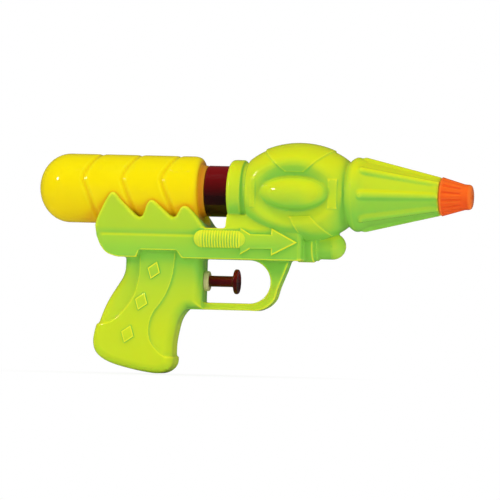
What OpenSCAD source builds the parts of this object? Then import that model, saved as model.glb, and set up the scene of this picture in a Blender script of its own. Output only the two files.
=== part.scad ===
// Toy water squirter: two-part body, push-fit tank, plunger trigger and a spring-return pump.
// Millimetres. The muzzle points along +X, +Z is up, and the origin is in the middle of the grip.

/* [Part] */
// sub-part to draw, or all

/* [Barrel] */
// height of the barrel axis over the grip's middle
barrel_z = 65; // [63:0.5:72]
// rear face of the collar
collar_x = 43.8; // [40:0.1:48]
// radius of the collar
collar_r = 16.5; // [16:0.1:18]
// length of the collar
collar_len = 8.2; // [7:0.1:11]
// length of the groove between collar and bulb
groove_len = 2.4; // [1.5:0.1:4]
// largest radius of the bulb
bulb_r = 25.4; // [24:0.1:27]
// half the length of the whole bulb ellipse
bulb_half = 34.6; // [33:0.1:37]
// length of the bulb between its two necks
bulb_len = 52.8; // [50:0.1:55]
// height of the raised panels on the bulb
panel_rise = 0.9; // [0.5:0.1:1.5]
// largest radius of the rim behind the cone
rim_r = 19.3; // [18.5:0.1:21]
// length of the rim
rim_len = 7; // [6:0.1:9]
// radius of the cone at the rim
cone_r = 18.4; // [17.5:0.1:20]
// length of the cone
cone_len = 41; // [36:0.5:46]
// radius of the cone at the nozzle
cone_end_r = 9.3; // [9:0.1:10.5]
// ribs round the cone
cone_ribs = 8; // [6:1:10]
// height of the cone's ribs
rib_rise = 0.8; // [0.5:0.1:1.2]
// wall of the body mouldings
wall = 2.1; // [1.8:0.1:2.6]

/* [Bulb window] */
// half length of the ellipsoid that hollows each side of the bulb
bowl_half = 33.2; // [31:0.1:35]
// radius of that ellipsoid
bowl_r = 23; // [21:0.1:25]
// depth of the hollow in the bulb
bowl_deep = 10.4; // [9.5:0.1:11]
// half length of the dome in the hollow
dome_half = 19.1; // [17:0.1:20]
// half height of the dome
dome_r = 8.7; // [8:0.1:9.2]

/* [Tank] */
// radius of the tank
tank_r = 17.8; // [17:0.1:18.4]
// length of the tank
tank_len = 88.7; // [80:0.1:95]
// length of the domed rear end
tank_dome = 16; // [12:0.5:18]
// radius of the tank's front corner
tank_corner = 5; // [4:0.1:6]
// wall of the tank
tank_wall = 1.4; // [1.2:0.1:1.8]
// inner radius of the tank's mouth
mouth_r = 11; // [10.5:0.1:11.4]
// depth of the tube inside the tank's mouth
mouth_len = 7.6; // [7:0.1:9]
// pitch of the chevron grooves
chevron_pitch = 20.6; // [19:0.1:22]
// lean of each chevron arm from upright
chevron_lean = 25; // [20:1:30]
// width of a chevron groove
chevron_w = 1.4; // [1:0.1:2]
// depth of a chevron groove
chevron_deep = 0.6; // [0.3:0.1:0.7]
// turn of the tank in its socket
tank_turn = 17; // [0:1:30]

/* [Socket] */
// radius of the socket between tank and collar
socket_r = 13.2; // [12.8:0.1:13.6]
// length of the socket that shows
socket_show = 11.5; // [10:0.1:13]
// radius of the spigot that enters the tank
spigot_r = 10.6; // [10.2:0.1:10.7]
// length of the spigot
spigot_len = 8.4; // [8:0.1:10]
// wall of the socket
socket_wall = 1.8; // [1.5:0.1:2.2]
// distance of the water port below the barrel axis
port_drop = 6.2; // [5.5:0.1:6.4]
// distance of the air vent above the barrel axis
vent_rise = 5; // [4:0.1:5.5]

/* [Receiver] */
// half width of the receiver
recv_w = 15.8; // [15.4:0.1:17]
// underside of the receiver over the origin
recv_z = 30; // [29.5:0.1:31]
// depth of the crease under the saddle below the barrel axis
crease_drop = 23.4; // [22:0.1:24]
// half width of the saddle at the barrel axis
saddle_w = 20.1; // [19.8:0.1:21]
// depth of the receiver's top edge below the barrel axis, in front of the saddle
recv_drop = 19; // [18.5:0.1:20]
// front of the receiver block
block_x = 84.9; // [82:0.1:87]
// height of raised emblems
emblem_rise = 0.9; // [0.5:0.1:1.3]
// radius of the cylinder under the barrel
under_r = 6.85; // [6:0.05:7]
// length of the cylinder under the barrel
under_len = 20.6; // [18:0.1:22]

/* [Grip] */
// half width of the recessed part of the grip
grip_w = 11.4; // [11:0.1:12.5]
// rounding of the grip's edges
grip_round = 6; // [4:0.1:7]
// height of the raised panel and butt
boot_rise = 0.9; // [0.5:0.1:1.3]
// front face of the grip
grip_front = 31.5; // [30:0.1:32.5]
// half width of the trigger guard
guard_w = 5; // [4:0.1:7]
// underside of the trigger guard
guard_z = 3.7; // [3:0.1:4.5]
// thickness of the trigger guard
guard_t = 3.7; // [3:0.1:4.5]
// radius of the round front of the guard opening
guard_round = 11.1; // [10.5:0.1:11.3]

/* [Trigger] */
// height of the trigger axis over the grip's middle
trigger_z = 18.5; // [18:0.1:19]
// stroke of the trigger
stroke = 10.5; // [8:0.5:11]
// radius of the trigger rod
rod_r = 2.9; // [2.6:0.05:3.1]
// radius of the trigger button
button_r = 6.4; // [6:0.1:7]
// thickness of the trigger button
button_t = 3.5; // [3:0.1:4]
// rear face of the button at rest
button_x = 46; // [45.5:0.1:48]
// radius of the guide bush's flange
bush_r = 5.2; // [5:0.1:5.8]

/* [Pump] */
// bore radius of the pump
bore_r = 4.2; // [4:0.05:4.4]
// outer radius of the pump
pump_r = 6.2; // [6:0.1:6.6]
// length of the piston
piston_len = 5; // [4.5:0.1:6]
// space left for the spring when the trigger is pulled
spring_room = 5; // [4.5:0.1:6]
// turns of the return spring
spring_turns = 5.5; // [4.5:0.5:6]
// radius of a valve ball
ball_r = 1.6; // [1.5:0.05:1.7]
// lift of a valve ball
ball_lift = 1; // [0.7:0.1:1.1]
// outer radius of a hose
hose_r = 2; // [1.8:0.05:2.1]

/* [Nozzle] */
// length of the nozzle tip outside the cone
tip_len = 16; // [14:0.5:19]
// radius of the nozzle tip at the cone
tip_r = 10.1; // [9.8:0.1:10.8]
// radius of the nozzle tip's front
tip_end_r = 6.1; // [5.8:0.1:6.8]
// radius of the hole in the nozzle tip
jet_hole_r = 1.5; // [1.2:0.1:2]
// flutes round the nozzle tip
tip_flutes = 14; // [10:1:18]

/* [Hidden] */
$fn = 48;

// clearances: running, seated, loose and cut-through
run_gap = 0.05;
seat_gap = 0.1;
loose_gap = 0.15;
over = 1;
edge = 0.8;
far = 60;

// stations along the barrel
collar_end = collar_x + collar_len;
bulb_x0 = collar_end + groove_len;
bulb_x1 = bulb_x0 + bulb_len;
bulb_mid = (bulb_x0 + bulb_x1) / 2;
rim_end = bulb_x1 + rim_len;
cone_end = rim_end + cone_len;
tip_x = cone_end + seat_gap;
tip_end = tip_x + tip_len;
groove_r = collar_r - 1.5;
bowl_y = bulb_r - bowl_deep + bowl_r;
dome_y = bulb_r - bowl_deep - 0.2;
arc_steps = 16;

// tank and socket
socket_x = collar_x - socket_show;
tank_front = socket_x - seat_gap;
tank_rear = tank_front - tank_len;
spigot_x = socket_x - spigot_len;
mouth_wall = 1.4;
socket_bore = spigot_r - socket_wall;
bore_fit = socket_r + loose_gap;
flange_r = socket_r + 1.2;
flange_x = collar_x + 2.4;
flange_t = 2;
disc_x = collar_x + 5.2;
disc_t = 2;
seal_w = 2;
seal_x = spigot_x + 2.6;
seal_in = spigot_r - 1.2;
seal_out = mouth_r - run_gap;
barb_r = 1.2;
barb_bore = 0.75;
hose_in = barb_r + loose_gap;
elbow_x = bulb_x0 - 0.4;
elbow_r = 2.6;
elbow_z = barrel_z - port_drop;
dip_r = 1.8;
dip_end = tank_rear + 6;
vent_r = 0.8;
vent_head_r = 2.2;
vent_head_t = 0.8;

// saddle and receiver
crease_z = barrel_z - crease_drop;
recv_top = barrel_z - recv_drop;
saddle_gap = 0.3;
cradle_r = tank_r + saddle_gap;
crease_w = recv_w - 0.6;
saddle_z = barrel_z + over;
saddle_front = tank_front + 1.8;
floor_z = barrel_z - cradle_r - wall;
recv_in = recv_w - wall;
shaft_w = 7;

// grip and guard
open_z0 = guard_z + guard_t;
open_z1 = recv_z - 0.3;
open_mid = (open_z0 + open_z1) / 2;
open_x = grip_front + 24.4;
strut_line = [[0.1, 0], [5.1, 0.1], [10.1, 2.4], [13.5, 6.2], [15.1, 11.4], [17.1, 16.5], [19.3, 22],
    [21, 26]];
strut_top = 22.1;
grip_in_w = grip_w - wall - 0.4;
grip_top = floor_z + 1.4;
round_in = 0.72;

// pump stations, from the grip's front wall rearwards
front_wall = wall + 0.2;
pump_front = grip_front - front_wall - seat_gap;
bush_body = bore_r - run_gap;
bush_in = 5;
bush_t = 2.6;
bush_x = grip_front + seat_gap;
bush_rear = pump_front - bush_in;
piston_front = bush_rear - seat_gap;
piston_rear = piston_front - piston_len;
chamber_x = piston_rear - stroke - spring_room;
pump_end_t = 2.4;
peg_r = 1.6;
peg_len = 3.4;
piston_r = bore_r - seat_gap;
groove_deep = 1.1;
seal_len = 1.5;
wire_r = 0.3;
coil_r = bore_r - 0.4 - wire_r;

// valve towers on top of the pump
tower_x = chamber_x + 3.6;
tower_y = 3.2;
tower_r = 3.4;
tower_bore = ball_r + 0.5;
port_r = 0.9;
seat_rise = sqrt(ball_r * ball_r - port_r * port_r);
valve_spring = ball_lift + 1.1;
tower_floor = trigger_z + bore_r + 0.7;
cap_z = tower_floor + seat_rise + ball_r + valve_spring;
plug_len = 1.6;
tower_top = cap_z + plug_len;
cap_t = 1;
barb_len = 4;
cap_top = tower_top + cap_t;
hose_z0 = cap_top + seat_gap;
hose_run_z = floor_z - hose_r - 0.5;
hose_bend = hose_run_z - cap_top - barb_len;
hose_way = hose_r + 0.3;
inlet_bend = 5;

// nozzle
neck_r = cone_end_r - wall - 0.3;
tip_flange_r = neck_r + 1.2;
tip_flange_t = 2;
tip_back = cone_end - 5.4;
tip_bore = 3.5;
jet_x = tip_x + 2;
jet_front = tip_x + 10;
jet_barb = 7;
orifice_r = 0.5;

// screws: x, z and the outer length of the boss
screw_r = 1.2;
screw_head_r = 2.5;
screw_head_t = 1.8;
screw_seat = 4.5;
screw_len = 11;
boss_r = 3.9;
screw_at = [[-12.5, recv_z + 7.5, recv_w - 1], [-8, -17, grip_w - 1], [9, 0.5, grip_w - 1],
            [block_x - 8, recv_z + 7, recv_w - 1], [rim_end + 13, barrel_z + 7.6, cone_r - 6.6]];

// curves
function unit(v) = v / norm(v);
function bulb_at(x, grow = 0) =
    (bulb_r + grow) * sqrt(1 - pow((x - bulb_mid) / (bulb_half + grow), 2));
function cone_at(x) = cone_r + (cone_end_r - cone_r) * (x - rim_end) / cone_len;
function span(a, b, n) = [for (i = [0 : n]) a + (b - a) * i / n];
function ellipse_half(a, b, n) = [for (t = span(0, 180, n)) [b * sin(t), -a * cos(t)]];
function cr(a, b, c, d, t) = 0.5 * (2 * b + (c - a) * t + (2 * a - 5 * b + 4 * c - d) * t * t
                                    + (3 * b - a - 3 * c + d) * t * t * t);
function spline(p, n) = let (m = len(p) - 1)
    concat([for (i = [0 : m - 1], k = [0 : n - 1])
                cr(p[max(i - 1, 0)], p[i], p[i + 1], p[min(i + 2, m)], k / n)], [p[m]]);
function left(v) = [-v[1], v[0]];
function inset(p, d) = let (n = len(p)) [for (i = [0 : n - 1])
    let (a = left(unit(p[i] - p[(i + n - 1) % n])), b = left(unit(p[(i + 1) % n] - p[i])))
    p[i] + d * (a + b) / (1 + a * b)];
function along(p, i) = unit(p[min(i + 1, len(p) - 1)] - p[max(i - 1, 0)]);
function quads(rings, n, flip = false) = [for (k = [0 : rings - 2], i = [0 : n - 1])
    let (a = k * n + i, b = k * n + (i + 1) % n, c = b + n, d = a + n)
    each (flip ? [[a, b, c], [a, c, d]] : [[a, c, b], [a, d, c]])];

// placing helpers
module on_barrel() translate([0, 0, barrel_z]) rotate([0, 90, 0]) children();
module on_trigger() translate([0, 0, trigger_z]) rotate([0, 90, 0]) children();
module at_x(x) translate([0, 0, x]) children();
// an outline in X and Z, drawn through from y0 towards the right by w
module side(w, y0 = over) translate([0, y0, 0]) rotate([90, 0, 0]) linear_extrude(w + y0) children();
// an outline in Y and Z, drawn along X
module cross(x0, x1) translate([x0, 0, 0]) rotate([90, 0, 90]) linear_extrude(x1 - x0) children();
// a disc or rod across the body
module across(x, z, r, y0, y1) translate([x, y1, z]) rotate([90, 0, 0]) cylinder(h = y1 - y0, r = r);
module oval(a, b) rotate_extrude() polygon(ellipse_half(a, b, arc_steps));

// a plate of the given outline and half width, with rounded edges
module pillow(p, w, r, m = 4) {
    n = len(p);
    rows = concat([[0, over], [0, r - w]],
                  [for (t = span(0, 90, m)) if (t > 0) [round_in * r * (1 - cos(t)), r - w - r * sin(t)]]);
    pts = [for (k = rows) each [for (q = inset(p, k[0])) [q[0], k[1], q[1]]]];
    last = (len(rows) - 1) * n;
    polyhedron(pts, concat(ladder(n), [for (t = ladder(n)) [last + t[2], last + t[1], last + t[0]]],
                           quads(len(rows), n, true)));
}
// an end face in rungs from one side of the outline to the other
function ladder(n) = [for (i = [0 : ceil(n / 2) - 2]) let (j = n - 1 - i)
    each concat([[i, i + 1, j]], i + 1 < j - 1 ? [[i + 1, j - 1, j]] : [])];

// a round bar along a path; each point has a direction that the section keeps to
module bar(path, ref, r, n) {
    m = len(path);
    pts = [for (i = [0 : m - 1]) each ring(path, ref, i, r, n)];
    polyhedron(pts, concat([[for (i = [0 : n - 1]) i]], [[for (i = [n - 1 : -1 : 0]) (m - 1) * n + i]],
                           quads(m, n)));
}
function ring(path, ref, i, r, n) =
    let (t = along(path, i), a = unit(ref[i] - (ref[i] * t) * t), b = cross(t, a))
    [for (j = [0 : n - 1]) path[i] + r * (cos(360 * j / n) * a + sin(360 * j / n) * b)];
// a hose: a bar with a bore
module hose(path, ref, ro, ri, n) {
    m = len(path);
    pts = concat([for (i = [0 : m - 1]) each ring(path, ref, i, ro, n)],
                 [for (i = [0 : m - 1]) each ring(path, ref, i, ri, n)]);
    o = m * n;
    e = (m - 1) * n;
    inner = [for (f = quads(m, n, true)) [f[0] + o, f[1] + o, f[2] + o]];
    ends = [for (i = [0 : n - 1]) let (k = (i + 1) % n)
        each [[i, k, o + k], [i, o + k, o + i], [e + k, e + i, o + e + i], [e + k, o + e + i, o + e + k]]];
    polyhedron(pts, concat(quads(m, n), inner, ends));
}
// a coil spring along +Z of its own frame
module coil(r, wire, length, turns, steps, n) {
    count = round(turns * steps);
    path = [for (i = [0 : count]) let (a = 360 * i / steps)
        [r * cos(a), r * sin(a), wire + (length - 2 * wire) * i / count]];
    ref = [for (i = [0 : count]) let (a = 360 * i / steps) [cos(a), sin(a), 0]];
    bar(path, ref, wire, n);
}

// the body's outer form, right half, and what is taken out of it
bulb_arc = [for (x = span(bulb_x0, bulb_x1, arc_steps)) [bulb_at(x), x]];
barrel_profile = concat(
    [[0, collar_x], [collar_r - edge, collar_x], [collar_r, collar_x + edge],
     [collar_r, collar_end], [groove_r, collar_end + edge], [groove_r, bulb_x0]],
    bulb_arc,
    [[rim_r - edge, bulb_x1 + rim_len * 0.3], [rim_r, bulb_x1 + rim_len * 0.55],
     [rim_r - 0.3, bulb_x1 + rim_len * 0.8], [cone_r, rim_end], [cone_end_r, cone_end], [0, cone_end]]);
barrel_bore = concat(
    [[0, collar_x - over], [bore_fit, collar_x - over], [bore_fit, flange_x],
    [flange_r + loose_gap, flange_x],
     [flange_r + loose_gap, flange_x + flange_t + seat_gap], [bore_fit, flange_x + flange_t + seat_gap]],
    [for (x = span(bulb_x0 + edge, bulb_x1 - edge, arc_steps)) [bulb_at(x) - wall, x]],
    [[cone_r - wall - edge, rim_end], [cone_at(tip_back - 1.2) - wall, tip_back - 1.2],
     [neck_r + loose_gap, tip_back - edge], [tip_flange_r + loose_gap, tip_back - seat_gap],
     [tip_flange_r + loose_gap, tip_back + tip_flange_t + seat_gap],
     [neck_r + loose_gap, tip_back + tip_flange_t + seat_gap], [neck_r + loose_gap, cone_end + over],
     [0, cone_end + over]]);

// tooth line of the saddle, rear foot to front foot, measured from the barrel axis
tooth_drop = [[-24.4, -18.5], [-21.8, -12], [-15, -1.2], [-9, -6.4], [-0.4, -14.2], [3.4, -7], [6.4, -4.8],
              [10.4, -8], [17.4, -13.8], [21, -9], [23.8, -7.6], [27.4, -10.4], [saddle_front, -recv_drop]];
tooth_line = [for (p = spline(tooth_drop, 4)) [p[0], barrel_z + p[1]]];
recv_rear = spline([[-24, crease_z], [-23, crease_z - 2.3], [-21, recv_z + 5.5], [-17.4, recv_z + 1.8],
                    [-12, recv_z]], 4);
// the grip: rear edge from the top down, round the butt, and up the front to the guard
grip_line = concat(
    spline([[-9.6, grip_top], [-9.1, 27], [-10, 20.7], [-13, 15.4], [-17, 9], [-20, 3.3], [-22.4, -2.6],
            [-24.2, -8.6], [-24.9, -14], [-23.6, -18.6], [-20, -22], [-14, -24.6], [-6, -26.7],
            [3, -28.4], [9.5, -28.9],
            [13.6, -27.4], [16, -24.4], [16.3, -20], [16.5, -14], [17.5, -8], [19, -2], [21.4, 2],
            [grip_front - grip_round - 1.5, guard_z + edge]], 2),
    [[grip_front, guard_z + edge], [grip_front, grip_top]]);
grip_hollow = [[-6, 38], [-6, 24], [-9.6, 14.5], [-16.6, 3], [-20.6, -8], [-21, -14], [-18, -19.4],
    [-8, -23],
               [8, -25.4], [12, -23], [12.6, -16], [14.4, -4], [18, 5], [24, 8],
               [grip_front - front_wall, 9],
               [grip_front - front_wall, 38]];
// the raised panel: down its rear border, round the butt and up its front border
boot_rear = spline([[-0.9, 40], [-0.7, 23.4], [-1.6, 16.7], [-3.5, 10.4], [-6.5, 5.2], [-10.1, 1],
                    [-14.2, -2.8], [-19, -4.4], [-30, -5]], 3);
boot_front = spline([[24, -21.6], [17.2, -20.9], [13.2, -20.7], [10.5, -18.9], [7.8, -16.2], [5.6, -12.6],
                     [4.9, -8.5], [5.3, -3.3], [7.3, 1.9], [10.9, 6.7], [13.9, 11.9], [16.4, 18.7],
                     [17.7, 26.5], [18.6, 40]], 3);
boot_line = concat(boot_rear, [[-30, -36], [24, -36]], boot_front);
diamond_at = [[7.1, 23.4], [0.8, 7.2], [-6.1, -9.8]];
diamond_long = 5.2;
diamond_short = 3.8;
diamond_lean = 19.5;

// the wedge panels and the end panels of the bulb
panel_top = [[bulb_mid - 5, barrel_z + 11.8], [bulb_mid + 5, barrel_z + 11.8],
             [bulb_mid + 26, barrel_z + 28.5], [bulb_mid - 26, barrel_z + 28.5]];
panel_low = [[bulb_mid - 2.4, barrel_z - 10.5], [bulb_mid + 9.4, barrel_z - 9.8],
             [bulb_mid + 25, barrel_z - 25], [bulb_mid + 8, barrel_z - 27]];
panel_end_w = 6;
panel_end_h = 15.4;

// the hollow in the bulb's side, and the dome that stands in it
module bowl(grow = 0) translate([bulb_mid, -bowl_y, barrel_z]) rotate([0, 90, 0])
    oval(bowl_half + grow, bowl_r + grow);
module dome(grow = 0) translate([bulb_mid, -dome_y, barrel_z]) rotate([0, 90, 0])
    oval(dome_half + grow, dome_r + grow);

module bulb_panels() intersection() {
    on_barrel() rotate_extrude() polygon(concat([[0, bulb_x0]],
        [for (x = span(bulb_x0, bulb_x1, arc_steps)) [bulb_at(x, panel_rise), x]], [[0, bulb_x1]]));
    union() {
        side(far) polygon(panel_top);
        side(far) polygon(panel_low);
        for (s = [-1, 1]) translate([bulb_mid + s * 19.2 - panel_end_w / 2, -far,
            barrel_z - panel_end_h / 2])
            cube([panel_end_w, far + over, panel_end_h]);
    }
}

module cone_rib(a) {
    lean = atan((cone_r - cone_end_r) / cone_len);
    deep = 1.8;
    on_barrel() rotate([0, 0, a]) translate([cone_at(rim_end + 1.6) - deep, 0, rim_end + 1.6])
        rotate([0, -lean, 0]) cylinder(h = cone_len - 1.8, r = deep + rib_rise);
}

module barrel_form() {
    difference() {
        on_barrel() rotate_extrude() polygon(barrel_profile);
        bowl();
    }
    difference() {
        bulb_panels();
        bowl(-panel_rise);
    }
    intersection() {
        for (i = [0 : cone_ribs - 1]) cone_rib(i * 360 / cone_ribs);
        translate([rim_end, -far, 0]) cube([cone_len, far + over, 2 * far]);
    }
    dome();
}

module barrel_hollow() {
    difference() {
        on_barrel() rotate_extrude() polygon(barrel_bore);
        bowl(wall);
    }
    dome(-wall);
}

module saddle_form() intersection() {
    side(far) polygon(concat(tooth_line, [[saddle_front, crease_z - over], [-24, crease_z - over]]));
    cross(-40, 40) polygon([[-crease_w, crease_z - over], [-crease_w, crease_z], [-saddle_w, saddle_z],
        [over, saddle_z], [over, crease_z - over]]);
}

module receiver_form() {
    side(recv_w) polygon(concat(recv_rear, [[-2, recv_z], [-0.6, recv_z + 4], [19.2, recv_z + 4],
        [22.2, recv_z], [block_x, recv_z], [block_x, recv_top], [saddle_front, recv_top],
        [saddle_front - over, crease_z]]));
    cross(collar_x + edge, block_x) polygon([[-recv_w, recv_top - over], [-recv_w, recv_top],
        [-12.5, recv_top + 7], [over, recv_top + 7], [over, recv_top - over]]);
    translate([0, 0, recv_z + 8]) rotate([0, 90, 0]) rotate_extrude() polygon(concat(
        [[0, block_x - 4], [under_r + 1.75, block_x - 4], [under_r + 1.75, block_x + 4.4],
         [under_r + 0.9, block_x + 5], [under_r, block_x + 5]],
        [for (a = span(0, 90, 6)) [under_r * cos(a), block_x + under_len - under_r + under_r * sin(a)]]));
}

module emblems() {
    // ribbed pill
    pill_z = recv_z + 10.4;
    pill_r = 4.5;
    pill_x0 = collar_x - 15.5 + pill_r;
    pill_x1 = collar_x + 13 - pill_r;
    ribs = 17;
    across(pill_x0, pill_z, pill_r, -recv_w - emblem_rise, -recv_in);
    across(pill_x1, pill_z, pill_r, -recv_w - emblem_rise, -recv_in);
    translate([pill_x0, -recv_w - emblem_rise, pill_z - pill_r])
        cube([pill_x1 - pill_x0, wall + emblem_rise, 2 * pill_r]);
    for (x = span(pill_x0 - 2.4, pill_x1 + 2.4, ribs))
        translate([x - 0.35, -recv_w - emblem_rise - 0.5, pill_z - 3.4]) cube([0.7, wall, 6.8]);
    // arrow
    arrow_z = recv_z + 9.5;
    arrow_tip = block_x - 1.7;
    arrow_head = arrow_tip - 13.8;
    arrow_neck = arrow_head - 11;
    arrow_tail = arrow_neck - 5.4;
    arrow_w = 7.2;
    shaft = 3.8;
    translate([0, -recv_in, arrow_z]) rotate([90, 0, 0]) linear_extrude(wall + emblem_rise)
        polygon([[arrow_tail, arrow_w], [arrow_neck, shaft], [arrow_head, shaft], [arrow_head, arrow_w],
                 [arrow_tip, 0], [arrow_head, -arrow_w], [arrow_head, -shaft], [arrow_neck, -shaft],
                 [arrow_tail, -arrow_w]]);
}

module grip_form() {
    pillow(grip_line, grip_w, grip_round);
    intersection() {
        pillow(inset(grip_line, -boot_rise), grip_w + boot_rise, grip_round);
        side(far) polygon(boot_line);
    }
    for (p = diamond_at) translate([p[0], -grip_in_w, p[1]]) rotate([90, diamond_lean, 0])
        linear_extrude(grip_w + 2 * boot_rise - grip_in_w)
            polygon([[diamond_short, 0], [0, diamond_long], [-diamond_short, 0], [0, -diamond_long]]);
}

module guard_form() side(guard_w) difference() {
    polygon(concat([[20, recv_z + 4], [20, guard_z]],
        spline([for (p = strut_line) [open_x + p[0], guard_z + p[1]]], 3), [[open_x + strut_top,
            recv_z + 4]]));
    translate([grip_front, open_z0]) square([open_x - grip_front, open_z1 - open_z0]);
    translate([open_x, open_mid]) circle(guard_round);
}

module body_form() {
    barrel_form();
    saddle_form();
    receiver_form();
    emblems();
    grip_form();
    guard_form();
}

module body_hollow() {
    barrel_hollow();
    // cradle that the tank lies in
    on_barrel() at_x(tank_rear) cylinder(h = tank_len + 4, r = cradle_r);
    // receiver, with its way up into the barrel
    side(recv_in) polygon([[-19, floor_z], [-17, recv_z + 6], [-13, recv_z + wall], [-4, recv_z + wall],
        [-3, recv_z + 6], [block_x - wall, recv_z + 6], [block_x - wall, floor_z]]);
    side(recv_in) polygon([[22, recv_z + wall], [block_x - wall, recv_z + wall],
        [block_x - wall, recv_z + 8], [22, recv_z + 8]]);
    translate([flange_x + flange_t + 4.6, -shaft_w, floor_z - over])
        cube([block_x - wall - flange_x - flange_t - 4.6, shaft_w + over, barrel_z - 6 - floor_z]);
    // way up for the inlet hose
    translate([elbow_x, 0, floor_z - over]) cylinder(h = elbow_z - floor_z, r = hose_way);
    translate([elbow_x - inlet_bend, -hose_way, floor_z - over])
        cube([inlet_bend, 2 * hose_way, inlet_bend + over]);
    side(grip_in_w) polygon(grip_hollow);
    // hollow of the cylinder under the barrel
    translate([block_x - wall - over, 0, recv_z + 8]) rotate([0, 90, 0])
        cylinder(h = under_len - wall - 2, r = under_r - wall);
    // way through for the guide bush
    on_trigger() at_x(grip_front - front_wall - over)
        cylinder(h = front_wall + 2 * over, r = bush_body + loose_gap);
}

// ribs that hold the pump, in the right half
module pump_ribs() difference() {
    for (x = [tower_x + tower_r + 2, bush_rear])
        translate([x, -grip_in_w - edge, trigger_z - 9]) cube([2.2, grip_in_w + edge, 17]);
    on_trigger() at_x(0) cylinder(h = far, r = pump_r + run_gap);
}

module half_box() translate([-2 * far, -far, -far]) cube([6 * far, far, 4 * far]);

module body_half() {
    intersection() {
        difference() {
            body_form();
            body_hollow();
        }
        half_box();
    }
    pump_ribs();
}

module right_body() color("YellowGreen") difference() {
    union() {
        body_half();
        for (s = screw_at) across(s[0], s[1], boss_r - 1, -s[2], 0);
    }
    for (s = screw_at) across(s[0], s[1], screw_r + run_gap, screw_seat - screw_len - seat_gap, over);
}

module left_body() color("YellowGreen") difference() {
    union() {
        mirror([0, 1, 0]) body_half();
        for (s = screw_at) across(s[0], s[1], boss_r, 0, s[2]);
    }
    for (s = screw_at) {
        across(s[0], s[1], screw_r + loose_gap, -over, far);
        across(s[0], s[1], screw_head_r + loose_gap, screw_seat, far);
    }
}

module body_screws() color("Silver") for (s = screw_at) difference() {
    union() {
        across(s[0], s[1], screw_r, screw_seat - screw_len, screw_seat + over);
        across(s[0], s[1], screw_head_r, screw_seat + run_gap, screw_seat + screw_head_t);
    }
    for (a = [0, 90]) translate([s[0], screw_seat + screw_head_t, s[1]]) rotate([0, a, 0])
        cube([2.8, 2, 0.7], center = true);
}

module nozzle_tip() color("DarkOrange") difference() {
    on_barrel() difference() {
        union() {
            rotate_extrude() polygon([[0, tip_back], [tip_flange_r, tip_back],
                [tip_flange_r, tip_back + tip_flange_t],
                [neck_r, tip_back + tip_flange_t], [neck_r, tip_x], [tip_r - edge, tip_x],
                [tip_r, tip_x + edge],
                [tip_end_r + 0.8, tip_end - 4.4], [tip_end_r + 0.6, tip_end - 3.6],
                [tip_end_r + 0.5, tip_end - 1.6],
                [tip_end_r - 0.4, tip_end - 0.4], [tip_end_r - 1.4, tip_end], [0, tip_end]]);
        }
        at_x(tip_back - over) cylinder(h = jet_front - tip_back + over, r = tip_bore);
        at_x(tip_back) cylinder(h = tip_len + far, r = jet_hole_r);
    }
    // grooves between the flutes
    flute_lean = atan((tip_r - tip_end_r - 0.8) / (tip_len - 4.4));
    for (i = [0 : tip_flutes - 1]) on_barrel() rotate([0, 0, (i + 0.5) * 360 / tip_flutes])
        translate([tip_r + 0.5, 0, tip_x + 1.2]) rotate([0, -flute_lean, 0])
            cylinder(h = tip_len - 6, r = 1.3);
}

module jet_insert() color("White") on_barrel() difference() {
    union() {
        at_x(jet_x) cylinder(h = jet_front - jet_x - run_gap, r = tip_bore - run_gap);
        at_x(jet_x - jet_barb) cylinder(h = jet_barb + over, r = barb_r);
    }
    at_x(jet_x - jet_barb - over) cylinder(h = jet_front - jet_x + jet_barb - 0.5, r = barb_bore);
    at_x(jet_x) cylinder(h = far, r = orifice_r);
}

module water_tank() color("Gold") on_barrel() rotate([0, 0, tank_turn]) difference() {
    rotate_extrude() polygon(concat(tank_skin(0), [[mouth_r, tank_front]]));
    rotate_extrude() polygon(concat(tank_skin(tank_wall), [[mouth_r + mouth_wall, tank_front - tank_wall],
        [mouth_r + mouth_wall, tank_front - mouth_len], [mouth_r, tank_front - mouth_len],
        [0, tank_front - mouth_len]]));
    at_x(tank_front - mouth_len - over) cylinder(h = mouth_len + 2 * over, r = mouth_r);
    difference() {
        for (i = [0 : 2], s = [0, 1]) chevron(tank_front - 60.4 + tank_corner - 5 + i * chevron_pitch, s);
        at_x(tank_rear - far) cylinder(h = tank_len + 2 * far, r = tank_r - chevron_deep);
    }
}
// the tank's outer line, or its inner line a wall inside it, up to its front face
function tank_skin(t) = concat(
    [[0, tank_rear + t]],
    [for (a = span(8, 90, 12)) [(tank_r - t) * sin(a), tank_rear + tank_dome - (tank_dome - t) * cos(a)]],
    [for (a = span(0, 75, 6)) [tank_r - tank_corner + (tank_corner - t) * cos(a),
                               tank_front - tank_corner + (tank_corner - t) * sin(a)]],
    [[mouth_r + 1.6, tank_front - t]]);
// one arm of a chevron on both flanks of the tank, vertex at x
module chevron(x, s) at_x(x) mirror([s, 0, 0]) rotate([0, chevron_lean, 0])
    translate([0, -far / 2, -chevron_w / 2]) cube([far / 2, far, chevron_w]);

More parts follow.
